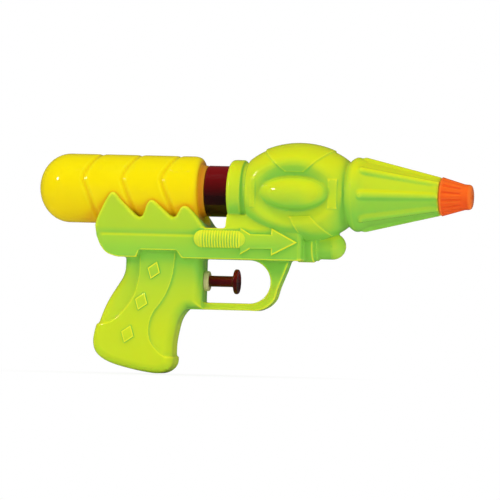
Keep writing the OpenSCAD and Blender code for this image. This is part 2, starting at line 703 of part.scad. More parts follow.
module tank_socket() color("DarkRed") difference() {
    union() {
        on_barrel() difference() {
            rotate_extrude() polygon([[0, spigot_x], [spigot_r - 0.6, spigot_x], [spigot_r, spigot_x + 0.6],
                [spigot_r, seal_x], [seal_in, seal_x], [seal_in, seal_x + seal_w + seat_gap],
                [spigot_r, seal_x + seal_w + seat_gap], [spigot_r, socket_x], [socket_r - 0.6, socket_x],
                [socket_r, socket_x + 0.6], [socket_r, flange_x + seat_gap], [flange_r, flange_x + seat_gap],
                [flange_r, flange_x + flange_t], [socket_r - 0.4, flange_x + flange_t],
                [socket_r - 0.4, disc_x + disc_t], [0, disc_x + disc_t]]);
            at_x(spigot_x - over) cylinder(h = disc_x - spigot_x + over, r = socket_bore - 0.6);
        }
        // rear barb for the dip tube, front elbow and its barb for the inlet hose
        translate([disc_x - 5, 0, elbow_z]) rotate([0, 90, 0]) cylinder(h = 6, r = barb_r);
        translate([disc_x + over, 0, elbow_z]) rotate([0, 90, 0])
            cylinder(h = elbow_x + elbow_r - disc_x - over, r = elbow_r);
        translate([elbow_x, 0, elbow_z - elbow_r - barb_len]) cylinder(h = barb_len + elbow_r, r = barb_r);
    }
    translate([disc_x - far, 0, elbow_z]) rotate([0, 90, 0])
        cylinder(h = elbow_x - disc_x + far, r = barb_bore);
    translate([elbow_x, 0, elbow_z - far]) cylinder(h = far, r = barb_bore);
    translate([disc_x - over, 0, barrel_z + vent_rise]) rotate([0, 90, 0])
        cylinder(h = disc_t + 2 * over, r = vent_r + seat_gap);
}

module seal_ring() color("Black") on_barrel() at_x(seal_x + run_gap) difference() {
    cylinder(h = seal_w, r = seal_out);
    at_x(-over) cylinder(h = seal_w + 2 * over, r = seal_in + run_gap);
}

module dip_tube() color("White") translate([dip_end, 0, elbow_z]) rotate([0, 90, 0]) difference() {
    cylinder(h = disc_x - seat_gap - dip_end, r = dip_r);
    at_x(-over) cylinder(h = disc_x - dip_end + 2 * over, r = hose_in);
}

module vent_flap() color("Black") translate([disc_x, 0, barrel_z + vent_rise]) rotate([0, 90, 0]) {
    at_x(-vent_head_t - run_gap) cylinder(h = vent_head_t, r = vent_head_r);
    at_x(-vent_head_t) cylinder(h = vent_head_t + disc_t + over, r = vent_r);
    at_x(disc_t + run_gap) cylinder(h = over, r = vent_r + 0.5);
}

bend_a = span(0, 90, 5);
hose_sides = 12;
function rise(y) = concat([[tower_x, y, hose_z0], [tower_x, y, cap_top + barb_len - over]],
    [for (a = bend_a) [tower_x + hose_bend * (1 - cos(a)), y, cap_top + barb_len + hose_bend * sin(a)]]);
elbow_low = elbow_z - elbow_r - seat_gap;
inlet_path = concat(rise(tower_y),
    spline([[24, tower_y, hose_run_z], [32, tower_y * 0.8, hose_run_z],
        [elbow_x - inlet_bend - 5, tower_y * 0.2, hose_run_z],
            [elbow_x - inlet_bend, 0, hose_run_z]], 3),
    [for (a = bend_a) if (a > 0) [elbow_x - inlet_bend + inlet_bend * sin(a), 0,
    hose_run_z + inlet_bend * (1 - cos(a))]],
    [[elbow_x, 0, elbow_low - barb_len + 0.6], [elbow_x, 0, elbow_low]]);
jet_end = jet_x - seat_gap;
outlet_path = concat(rise(-tower_y),
    spline([[26, -tower_y, hose_run_z], [40, -tower_y - 1.6, hose_run_z],
        [elbow_x, -tower_y - 2, hose_run_z],
            [elbow_x + 10, -tower_y - 0.6, hose_run_z + 2], [bulb_mid - 4, -tower_y, hose_run_z + 10],
            [bulb_mid + 10, -1.4, barrel_z - 4], [bulb_x1 - 2, -0.2, barrel_z - 0.4],
            [rim_end + 4, 0, barrel_z]], 4),
    [[jet_end - jet_barb, 0, barrel_z], [jet_end, 0, barrel_z]]);
function sideways(p) = [for (q = p) [0, 1, 0]];

module inlet_hose() color("LightCyan") hose(inlet_path, sideways(inlet_path), hose_r, hose_in, hose_sides);
module outlet_hose() color("LightCyan") hose(outlet_path, sideways(outlet_path), hose_r, hose_in,
    hose_sides);

module trigger_plunger() color("DarkRed") on_trigger() rotate_extrude() polygon([
    [0, piston_front - peg_len], [peg_r, piston_front - peg_len], [peg_r, piston_front],
    [rod_r, piston_front],
    [rod_r, button_x], [button_r - edge, button_x], [button_r, button_x + edge],
    [button_r, button_x + button_t - edge], [button_r - edge, button_x + button_t],
    [button_r - 1.6, button_x + button_t], [button_r - 2.6, button_x + button_t - 0.5],
    [0, button_x + button_t - 0.8]]);

module piston() color("White") on_trigger() rotate_extrude() polygon([
    [0, piston_rear], [piston_r, piston_rear], [piston_r, piston_rear + 1.6],
    [piston_r - groove_deep, piston_rear + 1.6], [piston_r - groove_deep,
    piston_rear + 1.6 + seal_len + seat_gap],
    [piston_r, piston_rear + 1.6 + seal_len + seat_gap], [piston_r, piston_front - run_gap],
    [peg_r + run_gap, piston_front - run_gap], [peg_r + run_gap, piston_front - peg_len - run_gap],
    [0, piston_front - peg_len - run_gap]]);

module piston_seal() color("Black") on_trigger() at_x(piston_rear + 1.6 + run_gap) difference() {
    cylinder(h = seal_len, r = bore_r - run_gap);
    at_x(-over) cylinder(h = seal_len + 2 * over, r = piston_r - groove_deep + run_gap);
}

module return_spring() color("Silver") on_trigger() at_x(chamber_x + run_gap)
    coil(coil_r, wire_r, piston_rear - chamber_x - 2 * run_gap, spring_turns, 16, 6);

module guide_bush() color("DarkKhaki") on_trigger() difference() {
    union() {
        at_x(bush_rear) cylinder(h = bush_x - bush_rear + over, r = bush_body);
        rotate_extrude() polygon([[0, bush_x], [bush_r, bush_x], [bush_r, bush_x + bush_t - 0.6],
            [bush_r - 0.6, bush_x + bush_t], [0, bush_x + bush_t]]);
    }
    at_x(bush_rear - over) cylinder(h = far, r = rod_r + run_gap);
}

module pump_body() color("WhiteSmoke") difference() {
    union() {
        on_trigger() at_x(chamber_x - pump_end_t) cylinder(h = pump_front - chamber_x + pump_end_t,
            r = pump_r);
        for (s = [-1, 1]) translate([tower_x, s * tower_y, trigger_z])
            cylinder(h = tower_top - trigger_z, r = tower_r);
    }
    on_trigger() at_x(chamber_x) cylinder(h = far, r = bore_r);
    for (s = [-1, 1]) translate([tower_x, s * tower_y, 0]) {
        at_x(tower_floor) cylinder(h = far, r = tower_bore);
        at_x(trigger_z) cylinder(h = far / 4, r = port_r);
    }
}

// a valve cap with its plug, flange and barb, over the tower at y
module valve_cap(y) difference() {
    translate([tower_x, y, 0]) {
        at_x(cap_z) cylinder(h = plug_len + cap_t, r = tower_bore - run_gap);
        at_x(tower_top + run_gap) cylinder(h = cap_t - run_gap, r = tower_y - seat_gap);
        at_x(cap_z + plug_len) cylinder(h = cap_t + barb_len, r = barb_r);
    }
    translate([tower_x, y, cap_z - over]) cylinder(h = far, r = barb_bore);
    translate([tower_x, y, cap_z - over]) cylinder(h = over + 0.8, r = port_r);
}
module valve_coil(z, length) translate([tower_x, 0, z]) coil(ball_r - 0.5, 0.14, length, 3, 10, 5);

module inlet_cap() color("WhiteSmoke") valve_cap(tower_y);
module outlet_cap() color("WhiteSmoke") valve_cap(-tower_y);
module inlet_ball() color("Silver") translate([tower_x, tower_y, cap_z - seat_rise - run_gap])
    sphere(ball_r);
module outlet_ball() color("Silver") translate([tower_x, -tower_y, tower_floor + seat_rise + run_gap])
    sphere(ball_r);
module inlet_spring() color("Silver") translate([0, tower_y, 0])
    valve_coil(tower_floor + run_gap, valve_spring + 0.3);
module outlet_spring() color("Silver") translate([0, -tower_y, 0])
    valve_coil(cap_z - valve_spring - 0.3 - run_gap, valve_spring + 0.3);

right_body();
left_body();
body_screws();
nozzle_tip();
jet_insert();
water_tank();
tank_socket();
seal_ring();
dip_tube();
vent_flap();
inlet_hose();
outlet_hose();
trigger_plunger();
piston();
piston_seal();
return_spring();
guide_bush();
pump_body();
inlet_cap();
inlet_ball();
inlet_spring();
outlet_cap();
outlet_ball();
outlet_spring();
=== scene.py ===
"""Dresses the water squirter: body shells, blown tank, tinted socket and trigger, fluted tip."""

import math

import bmesh
import bpy
from mathutils import Matrix, Vector


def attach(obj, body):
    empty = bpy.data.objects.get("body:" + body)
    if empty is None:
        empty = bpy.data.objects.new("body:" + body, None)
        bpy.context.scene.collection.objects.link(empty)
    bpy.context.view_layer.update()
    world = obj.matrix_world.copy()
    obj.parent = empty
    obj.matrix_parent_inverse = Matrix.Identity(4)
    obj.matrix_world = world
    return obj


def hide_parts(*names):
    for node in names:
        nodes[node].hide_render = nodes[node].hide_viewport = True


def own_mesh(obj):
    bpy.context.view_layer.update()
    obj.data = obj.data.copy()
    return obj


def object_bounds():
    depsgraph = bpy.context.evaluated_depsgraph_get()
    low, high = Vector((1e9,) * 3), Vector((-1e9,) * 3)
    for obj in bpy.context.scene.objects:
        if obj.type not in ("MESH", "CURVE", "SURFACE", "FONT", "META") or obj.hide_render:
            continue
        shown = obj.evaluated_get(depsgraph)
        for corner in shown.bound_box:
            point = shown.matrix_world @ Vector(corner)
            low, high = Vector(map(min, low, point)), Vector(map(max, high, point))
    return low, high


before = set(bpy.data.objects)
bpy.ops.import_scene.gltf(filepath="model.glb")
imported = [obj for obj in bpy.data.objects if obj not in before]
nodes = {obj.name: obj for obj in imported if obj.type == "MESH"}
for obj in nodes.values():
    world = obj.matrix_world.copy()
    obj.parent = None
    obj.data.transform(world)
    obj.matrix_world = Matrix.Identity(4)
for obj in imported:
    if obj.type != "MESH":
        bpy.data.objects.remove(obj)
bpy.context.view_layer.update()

MM = 0.001
QUARTER = math.pi / 2

# sizes in millimetres, as in the part
BARREL_Z = 65.0
BULB_MID, BULB_R, BULB_HALF = 80.8, 25.4, 34.6
BULB_X0, BULB_X1 = 54.4, 107.2
RIM_END, CONE_END = 114.2, 155.2
CONE_R, CONE_END_R, CONE_RIBS = 18.4, 9.3, 8
WALL = 2.1
RECV_W, RECV_Z, RECV_TOP, CREASE_Z = 15.8, 30.0, 46.0, 41.6
SADDLE_W = 20.1
BLOCK_X = 84.9
UNDER_Z, UNDER_R = RECV_Z + 8, 6.85
GRIP_W, GRIP_FRONT = 11.4, 31.5
GUARD_Z, GUARD_W = 3.7, 5
OPEN_X, OPEN_R, OPEN_Z0, OPEN_Z1 = 55.9, 11.1, 7.4, 29.7
TRIGGER_Z = 18.5
TANK_R, TANK_FRONT, TANK_REAR = 17.8, 32.2, -56.5
TANK_DOME, TANK_WALL, MOUTH_R, MOUTH_LEN = 16, 1.4, 11.0, 7.6
TIP_X, TIP_END, TIP_R, TIP_FLUTES = 155.3, 171.3, 10.1, 14
TIP_HOLE, TIP_SEAT = 1.5, 3.5
SEAM = 0.03

# x, z and outer end of each screw post
SCREWS = [(-12.5, 37.5, 14.8), (-8, -17, 10.4), (9, 0.5, 10.4), (76.9, 37, 14.8),
          (127.2, 72.6, 11.8)]

# relief fitted to the photograph, so not quite as in the part
BOWL_HALF, BOWL_R, BOWL_Y = 55.5, 35.5, 50.4
DOME_HALF, DOME_R, DOME_Y = 18.3, 8.7, 14.8
PANEL_RISE = 0.7
ARROW_X, ARROW_RISE = 53, 1.4
DIAMOND_RISE = 1.85
PILL_Z, PILL_R, PILL_X0, PILL_X1 = RECV_Z + 10.4, 4.5, 32.8, 52.3
PILL_RISE, PILL_PITCH = 2.5, 1.43


# bench tools: forms are bmeshes in millimetres until they are put on the shelf

def steps_between(a, b, n):
    return [a + (b - a) * i / n for i in range(n + 1)]


def eased_step(a, b, t):
    """0 up to a, 1 from b on, and a soft rise between."""
    t = min(1.0, max(0.0, (t - a) / (b - a)))
    return t * t * (3 - 2 * t)


def through(points, n):
    """A smooth line through the points, n steps to each stretch."""
    line = []
    for i in range(len(points) - 1):
        a, b = Vector(points[max(i - 1, 0)]), Vector(points[i])
        c, d = Vector(points[i + 1]), Vector(points[min(i + 2, len(points) - 1)])
        for k in range(n):
            t = k / n
            p = 0.5 * (2 * b + (c - a) * t + (2 * a - 5 * b + 4 * c - d) * t * t
                       + (3 * b - a - 3 * c + d) * t ** 3)
            line.append(tuple(p))
    return line + [tuple(points[-1])]


def moved(form, x, y, z):
    bmesh.ops.translate(form, vec=(x, y, z), verts=form.verts)
    return form


def turned(form, angle, axis):
    matrix = Matrix.Rotation(angle, 3, axis)
    bmesh.ops.rotate(form, cent=(0, 0, 0), matrix=matrix, verts=form.verts)
    return form


def closed(form):
    """Welds a form's seams and turns its faces outwards."""
    bmesh.ops.remove_doubles(form, verts=form.verts, dist=1e-4)
    bmesh.ops.recalc_face_normals(form, faces=form.faces)
    return form


def lathe(line, z=BARREL_Z, steps=96):
    """Turns a line of (x, radius) stations about an axis along X at height z."""
    form = bmesh.new()
    stations = [form.verts.new((x, 0.0, z + r)) for x, r in line]
    edges = [form.edges.new(pair) for pair in zip(stations, stations[1:])]
    bmesh.ops.spin(form, geom=stations + edges, cent=(0, 0, z), axis=(1, 0, 0),
                   angle=math.tau, steps=steps, use_merge=True)
    return closed(form)


def rod(x0, x1, r, z=BARREL_Z, steps=48):
    """A plain round bar along X."""
    return lathe([(x0, 0), (x0, r), (x1, r), (x1, 0)], z=z, steps=steps)


def drawn(points, vec):
    """A flat outline drawn out along vec into a solid."""
    form = bmesh.new()
    face = form.faces.new([form.verts.new(p) for p in points])
    grown = bmesh.ops.extrude_face_region(form, geom=[face])["geom"]
    ends = [v for v in grown if isinstance(v, bmesh.types.BMVert)]
    bmesh.ops.translate(form, vec=vec, verts=ends)
    return closed(form)


def side_plate(outline, y0, y1):
    """An outline in X and Z, drawn across the body from y0 to y1."""
    return drawn([(x, y0, z) for x, z in outline], (0, y1 - y0, 0))


def cross_bar(outline, x0, x1):
    """An outline in Y and Z, drawn along the barrel from x0 to x1."""
    return drawn([(x0, y, z) for y, z in outline], (x1 - x0, 0, 0))


def plan_block(outline, z0=20, z1=80):
    """An outline in X and Y, drawn up past the whole receiver."""
    return drawn([(x, y, z0) for x, y in outline], (0, 0, z1 - z0))


def box(x0, x1, y0, y1, z0, z1):
    form = bmesh.new()
    bmesh.ops.create_cube(form, size=1.0)
    bmesh.ops.scale(form, vec=(x1 - x0, y1 - y0, z1 - z0), verts=form.verts)
    return moved(form, (x0 + x1) / 2, (y0 + y1) / 2, (z0 + z1) / 2)


def egg(x, y, z, half, r):
    """An ellipsoid of half length half along the barrel and radius r round it."""
    form = bmesh.new()
    bmesh.ops.create_uvsphere(form, u_segments=72, v_segments=48, radius=1.0)
    turned(form, QUARTER, "Y")
    bmesh.ops.scale(form, vec=(half, r, r), verts=form.verts)
    return moved(form, x, y, z)


def pin(x, z, r, y0, y1):
    """A round pin or hole across the body."""
    form = bmesh.new()
    bmesh.ops.create_cone(form, cap_ends=True, segments=32, radius1=r, radius2=r, depth=y1 - y0)
    return moved(turned(form, QUARTER, "X"), x, (y0 + y1) / 2, z)


def eased(form, pick, width, segments):
    """Rounds the edges that pick chooses."""
    edges = [e for e in form.edges if pick(e)]
    bmesh.ops.bevel(form, geom=edges, offset=width, offset_type="OFFSET", affect="EDGES",
                    segments=segments, profile=0.5, material=-1, clamp_overlap=True)
    return form


def at_y(y):
    """Picks the edges that lie at y."""
    return lambda e: all(abs(v.co.y - y) < 1e-3 for v in e.verts)


def pillow(outline, half_w, deep, inward, steps=7):
    """A plate with a round edge towards the right: insets that follow a quarter of an oval."""
    form = side_plate(outline, 1, -(half_w - deep))
    cap = min(form.faces, key=lambda f: f.calc_center_median().y)
    for k in range(steps):
        a, b = QUARTER * k / steps, QUARTER * (k + 1) / steps
        bmesh.ops.inset_region(form, faces=[cap], thickness=inward * (math.cos(a) - math.cos(b)),
                               depth=deep * (math.sin(b) - math.sin(a)), use_even_offset=True)
    return form


def grown_line(outline, d):
    """The outline moved outwards by d."""
    pts = [Vector(p) for p in outline]
    n, line = len(pts), []
    for i, p in enumerate(pts):
        a, b = (p - pts[i - 1]).normalized(), (pts[(i + 1) % n] - p).normalized()
        a, b = Vector((a.y, -a.x)), Vector((b.y, -b.x))
        line.append(tuple(p + d * (a + b) / (1 + a.dot(b))))
    return line


def inside_by(outline, x, z):
    """How far a point lies inside an outline that turns left."""
    reach = 1e9
    for (x0, z0), (x1, z1) in zip(outline, outline[1:] + outline[:1]):
        dx, dz = x1 - x0, z1 - z0
        reach = min(reach, (dx * (z - z0) - dz * (x - x0)) / math.hypot(dx, dz))
    return reach


def shelved(form, name="blank"):
    """Puts a form in the scene as an object, still in millimetres."""
    mesh = bpy.data.meshes.new(name)
    form.to_mesh(mesh)
    form.free()
    item = bpy.data.objects.new(name, mesh)
    bpy.context.scene.collection.objects.link(item)
    return item


def dropped(item):
    """Throws an object away with its mesh."""
    mesh = item.data
    bpy.data.objects.remove(item)
    bpy.data.meshes.remove(mesh)


def taken(item):
    """Takes an object off the shelf with its modifiers carried out."""
    form = bmesh.new()
    form.from_object(item, bpy.context.evaluated_depsgraph_get())
    dropped(item)
    return form


def worked(form, tool, how):
    """form with tool added, cut away or kept in common."""
    item, knife = shelved(form), shelved(tool, "tool")
    cut = item.modifiers.new("cut", "BOOLEAN")
    cut.operation, cut.solver, cut.object = how, "MANIFOLD", knife
    form = taken(item)
    dropped(knife)
    return form


def gathered(forms):
    """Several forms in one bmesh."""
    whole = bmesh.new()
    for form in forms:
        mesh = bpy.data.meshes.new("loose")
        form.to_mesh(mesh)
        form.free()
        whole.from_mesh(mesh)
        bpy.data.meshes.remove(mesh)
    return whole


def cast(forms, grain):
    """Melts overlapping forms into one skin, as one moulding."""
    item = shelved(gathered(forms))
    melt = item.modifiers.new("melt", "REMESH")
    melt.mode, melt.voxel_size, melt.adaptivity = "VOXEL", grain, 0.0
    return taken(item)


def rubbed(form, passes, pick=None):
    """Rubs a skin smooth, all over or where pick says."""
    verts = [v for v in form.verts if pick(v.co)] if pick else form.verts[:]
    for _ in range(passes):
        bmesh.ops.smooth_vert(form, verts=verts, factor=0.5,
                              use_axis_x=True, use_axis_y=True, use_axis_z=True)
    return form


def mark_turns(form, flat=None, proud=None):
    """Keeps on each face how sharply the skin turns there, for painted highlights on edges and
    painted
    shade in grooves: above 0 over an edge, below 0 in a groove. A flat face keeps 0, and a proud
    one is lifted towards an edge so that it gets a painted highlight too."""
    proud_highlight_share, proud_highlight_turn = 0.7, 0.07
    form.normal_update()
    turn = {}
    for v in form.verts:
        lean = [v.normal.dot((v.co - e.other_vert(v).co).normalized()) for e in v.link_edges]
        turn[v] = sum(lean) / len(lean) if lean else 0.0
    for _ in range(2):
        turn = {v: 0.5 * t + 0.5 * sum(turn[e.other_vert(v)] for e in v.link_edges)
                / max(len(v.link_edges), 1) for v, t in turn.items()}
    layer = form.faces.layers.float.new("turn")
    for face in form.faces:
        if not (flat and flat(face)):
            face[layer] = sum(turn[v] for v in face.verts) / len(face.verts)
        if proud and proud(face):
            face[layer] = proud_highlight_share * face[layer] + proud_highlight_turn
    return form


def piece(form, name, body, stands_for, material, crease=35.0):
    """Makes a finished piece: metres, smooth shading with crisp edges, body, node and finish."""
    bmesh.ops.scale(form, vec=(MM, MM, MM), verts=form.verts)
    item = shelved(form, name)
    for face in item.data.polygons:
        face.use_smooth = True
    item.data.set_sharp_from_angle(angle=math.radians(crease))
    item.data.materials.append(material)
    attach(item, body)
    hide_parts(stands_for)
    return item


# finishes

class Finish:
    """A node material with a few helpers to wire it."""

    def __init__(self, name):
        self.material = bpy.data.materials.new(name)
        self.material.use_nodes = True
        self.tree = self.material.node_tree
        self.shader = self.tree.nodes["Principled BSDF"]

    def node(self, kind, **values):
        node = self.tree.nodes.new(kind)
        for key, value in values.items():
            if hasattr(node, key):
                setattr(node, key, value)
            else:
                node.inputs[key.replace("_", " ")].default_value = value
        return node

    def wire(self, out, into):
        self.tree.links.new(out, into)

    def feed(self, out, name):
        """Wires a value to a socket of the shader."""
        self.wire(out, self.shader.inputs[name])

    def set(self, **values):
        """Sets sockets of the shader to plain values."""
        for key, value in values.items():
            self.shader.inputs[key.replace("_", " ")].default_value = value

    def coords(self):
        return self.node("ShaderNodeTexCoord").outputs["Object"]

    def xyz(self, vector):
        parts = self.node("ShaderNodeSeparateXYZ")
        self.wire(vector, parts.inputs[0])
        return parts.outputs

    def maths(self, operation, a, b, clamp=False):
        m = self.node("ShaderNodeMath", operation=operation, use_clamp=clamp)
        self.wire(a, m.inputs[0])
        self.wire(b, m.inputs[1])
        return m.outputs[0]

    def noise(self, scale, detail=3.0, rough=0.5):
        n = self.node("ShaderNodeTexNoise", Scale=scale, Detail=detail, Roughness=rough)
        self.wire(self.coords(), n.inputs["Vector"])
        return n.outputs["Fac"]

    def ramp(self, fac, stops):
        """A ramp through colours, or through greys given as plain numbers."""
        r = self.node("ShaderNodeValToRGB")
        marks = r.color_ramp.elements
        while len(marks) < len(stops):
            marks.new(0.5)
        for mark, (at, tone) in zip(marks, stops):
            mark.position = at
            mark.color = (*tone, 1.0) if isinstance(tone, tuple) else (tone, tone, tone, 1.0)
        self.wire(fac, r.inputs["Fac"])
        return r.outputs["Color"]

    def mix(self, fac, a, b):
        m = self.node("ShaderNodeMix", data_type="RGBA")
        for value, socket in ((fac, m.inputs[0]), (a, m.inputs[6]), (b, m.inputs[7])):
            if isinstance(value, bpy.types.NodeSocket):
                self.wire(value, socket)
            else:
                socket.default_value = (*value, 1.0)
        return m.outputs[2]

    def span(self, value, a0, a1, b0=0.0, b1=1.0):
        """Carries a0 to b0 and a1 to b1, and stops there."""
        m = self.node("ShaderNodeMapRange")
        self.wire(value, m.inputs["Value"])
        for name, v in zip(("From Min", "From Max", "To Min", "To Max"), (a0, a1, b0, b1)):
            m.inputs[name].default_value = v
        return m.outputs["Result"]

    def bump(self, height, strength, distance):
        b = self.node("ShaderNodeBump", Strength=strength, Distance=distance)
        self.wire(height, b.inputs["Height"])
        self.feed(b.outputs["Normal"], "Normal")

    def gloss(self, scale, low, high):
        """Uneven roughness between low and high."""
        self.feed(self.span(self.noise(scale), 0.3, 0.7, low, high), "Roughness")


def srgb(code):
    """Linear colour from a six-figure web code."""
    parts = [int(code[i:i + 2], 16) / 255 for i in (0, 2, 4)]
    return tuple(p / 12.92 if p <= 0.04045 else ((p + 0.055) / 1.055) ** 2.4 for p in parts)


# Where moulded plastic gets painted shade in its deep colour: underneath, by height, along the
# barrel, in nooks, in grooves and on the tank's neck; and a painted highlight in its pale colour
# along edges.
# A span says where a measure starts and ends and, where it has four values, the share of the colour
# at either end. Heights and lengths are in metres: the painted shade is fullest on the receiver's
# flanks, which lie under the barrel, and least at the grip's foot, which stands free.
SHADE_FACING_DOWN, SHADE_DOWN_SHARE = (0.7, -0.85), 3.5
SHADE_HEIGHTS, SHADE_HEIGHT_SHARES = (-0.005, 0.06), [
    (0.0, 0.2), (0.123, 0.31), (0.3, 0.42), (0.4, 0.62), (0.49, 0.7), (0.554, 0.95), (0.615, 0.9),
    (0.677, 0.76), (0.723, 0.72), (0.78, 0.4), (0.9, 0.37)]
SHADE_LENGTHS, SHADE_LENGTH_SHARES = (0.084, 0.112), [
    (0.0, 0.62), (0.2, 0.4), (0.5, 0.4), (0.7, 0.62), (1.0, 1.0)]
NOOK_SHADE_REACH = 0.025
NOOK_SHADE_SPAN, SHADE_TURNED_AWAY = (0.97, 0.68, 0.0, 0.8), (-0.5, 0.6, 0.45, 1.5)
GROOVE_SHADE_TURN, EDGE_HIGHLIGHT_TURN = (-0.03, -0.16), (0.03, 0.12, 0.0, 0.9)
NECK_SHADE_BLEND, NECK_SHADE_SHARE = 0.0004, 0.85


def moulded(name, colour, deep, pale, rough, soft=0.0, reach=(1.0, 1.0, 1.0), alone=True,
            groove=0.5, below=0.95, neck=None):
    """Glossy moulded plastic that light passes into, with painted shade in the deep colour
    underneath, in nooks and in grooves, a painted highlight in the pale colour along edges and
    proud faces, faint flow streaks and an orange-peel skin. neck is the place along the barrel
    where painted shade in another tone starts, and that tone."""
    f = Finish(name)
    streaks = f.ramp(f.noise(38.0, 4.0, 0.55), [(0.35, 0.0), (0.72, 1.0)])
    base = f.mix(streaks, colour, tuple(0.95 * c + 0.05 * d for c, d in zip(colour, deep)))

    # painted shade: the deep colour on faces turned down, by height and along the barrel, and in
    # nooks
    normal = f.xyz(f.node("ShaderNodeNewGeometry").outputs["Normal"])
    place = f.xyz(f.coords())
    shade_by_height = f.ramp(f.span(place["Z"], *SHADE_HEIGHTS), SHADE_HEIGHT_SHARES)
    shade_by_length = f.ramp(f.span(place["X"], *SHADE_LENGTHS), SHADE_LENGTH_SHARES)
    down = f.span(normal["Z"], *SHADE_FACING_DOWN, 0.0, SHADE_DOWN_SHARE * below)
    under = f.maths("MULTIPLY", f.maths("MULTIPLY", down, shade_by_height), shade_by_length)
    nook_occlusion = f.node("ShaderNodeAmbientOcclusion", samples=16, only_local=alone,
                     Distance=NOOK_SHADE_REACH).outputs["AO"]
    away = f.maths("SUBTRACT", normal["X"], normal["Z"])
    painted_nook_shade = f.maths("MULTIPLY", f.span(nook_occlusion, *NOOK_SHADE_SPAN), f.span(away, *SHADE_TURNED_AWAY))
    base = f.mix(f.maths("ADD", under, painted_nook_shade, clamp=True), base, deep)

    # painted shade in grooves, and a painted highlight along edges and proud faces
    turn = f.node("ShaderNodeAttribute", attribute_name="turn").outputs["Fac"]
    base = f.mix(f.span(turn, *GROOVE_SHADE_TURN, 0.0, groove), base, deep)
    base = f.mix(f.span(turn, *EDGE_HIGHLIGHT_TURN), base, pale)
    # painted shade in another tone on the neck
    if neck:
        x, tone = neck
        past = f.span(place["X"], x - NECK_SHADE_BLEND, x + NECK_SHADE_BLEND, 0.0, NECK_SHADE_SHARE)
        base = f.mix(past, base, tone)
    f.feed(base, "Base Color")

    f.gloss(120.0, rough - 0.03, rough + 0.05)
    f.set(IOR=1.49, Specular_IOR_Level=0.4)
    if soft:
        f.set(Subsurface_Weight=soft, Subsurface_Radius=reach, Subsurface_Scale=0.003)
    f.bump(f.noise(900.0, 2.0), 0.03, 0.0004)
    return f.material


def tinted(name, colour, deep, rough, clear=0.0, painted_top_light=None):
    """Tinted plastic with flow lines and small waves. The optional painted light is a lighter
    colour painted on the top, where light falls in from above, given with the two heights between
    which it sets in."""
    f = Finish(name)
    streaks = f.ramp(f.noise(60.0, 5.0, 0.6), [(0.38, 0.0), (0.66, 1.0)])
    base = f.mix(streaks, colour, deep)
    # painted light: lighter towards the top
    if painted_top_light:
        tone, z0, z1 = painted_top_light
        base = f.mix(f.span(f.xyz(f.coords())["Z"], z0, z1), base, tone)
    f.feed(base, "Base Color")
    f.gloss(200.0, rough - 0.03, rough + 0.05)
    f.set(IOR=1.52, Specular_IOR_Level=0.35, Transmission_Weight=clear)
    f.bump(f.noise(240.0, 2.0), 0.05, 0.0005)
    return f.material


def rubbery(name):
    f = Finish(name)
    f.feed(f.ramp(f.noise(300.0, 4.0), [(0.3, (0.012, 0.012, 0.013)), (0.75, (0.03, 0.03, 0.032))]),
           "Base Color")
    f.gloss(500.0, 0.55, 0.75)
    f.bump(f.noise(1500.0, 3.0), 0.12, 0.0003)
    return f.material


def plated(name):
    f = Finish(name)
    f.feed(f.ramp(f.noise(400.0, 4.0), [(0.3, (0.50, 0.50, 0.51)), (0.75, (0.66, 0.66, 0.67))]),
           "Base Color")
    f.gloss(900.0, 0.22, 0.38)
    f.set(Metallic=1.0)
    f.bump(f.noise(1800.0, 2.0), 0.06, 0.0002)
    return f.material


# each moulding: its own colour, the colour of its painted shade, the colour of its painted
# highlight
LIME = moulded("lime_moulding", srgb("DEE71C"), srgb("8ED24A"), srgb("F2F438"), rough=0.08,
               soft=0.3, reach=(0.4, 1.0, 0.2))
# the tank also takes painted shade from parts beside it, in its grooves, and in orange on its neck
YELLOW = moulded("yellow_blown_tank", srgb("FFE800"), srgb("F6B810"), srgb("FFF23A"), rough=0.1,
                 soft=0.2, reach=(1.0, 0.8, 0.1), alone=False, groove=1.0, below=0.4,
                 neck=(MM * TANK_FRONT - 0.0027, srgb("D9811C")))
ORANGE = moulded("orange_tip", srgb("FF6E1E"), srgb("F4591A"), srgb("FF7C2A"), rough=0.14,
                 soft=0.2, reach=(1.0, 0.5, 0.1))
OLIVE = moulded("olive_bush", srgb("AB9F56"), srgb("746F38"), srgb("D8CF92"), rough=0.3)
WHITE = moulded("white_plastic", srgb("E9E8E2"), srgb("CFCEC8"), srgb("F6F5F0"), rough=0.32)
# the socket and the trigger carry painted light on their tops
SOCKET_RED = tinted("wine_socket", srgb("2A0405"), srgb("1C0304"), rough=0.14,
                    painted_top_light=(srgb("8A0C10"), 0.062, 0.080))
TRIGGER_RED = tinted("wine_trigger", srgb("4E0608"), srgb("380506"), rough=0.14,
                     painted_top_light=(srgb("86090E"), 0.018, 0.0235))
HOSE = tinted("clear_hose", srgb("DDE4E2"), srgb("C8D2CF"), rough=0.2, clear=0.6)
RUBBER = rubbery("black_rubber")
STEEL = plated("bright_steel")


# barrel

def bulb_at(x):
    """Radius of the bulb at x."""
    return BULB_R * math.sqrt(1 - ((x - BULB_MID) / BULB_HALF) ** 2)


def cone_at(x):
    """Radius of the cone at x."""
    return CONE_R + (CONE_END_R - CONE_R) * (x - RIM_END) / (CONE_END - RIM_END)


def bowl(grow=0.0):
    """The round hollow in the bulb's side."""
    return egg(BULB_MID, -BOWL_Y, BARREL_Z, BOWL_HALF + grow, BOWL_R + grow)


def dome(grow=0.0):
    """The long egg that lies in the bowl."""
    return egg(BULB_MID, -DOME_Y, BARREL_Z, DOME_HALF + grow, DOME_R + grow)


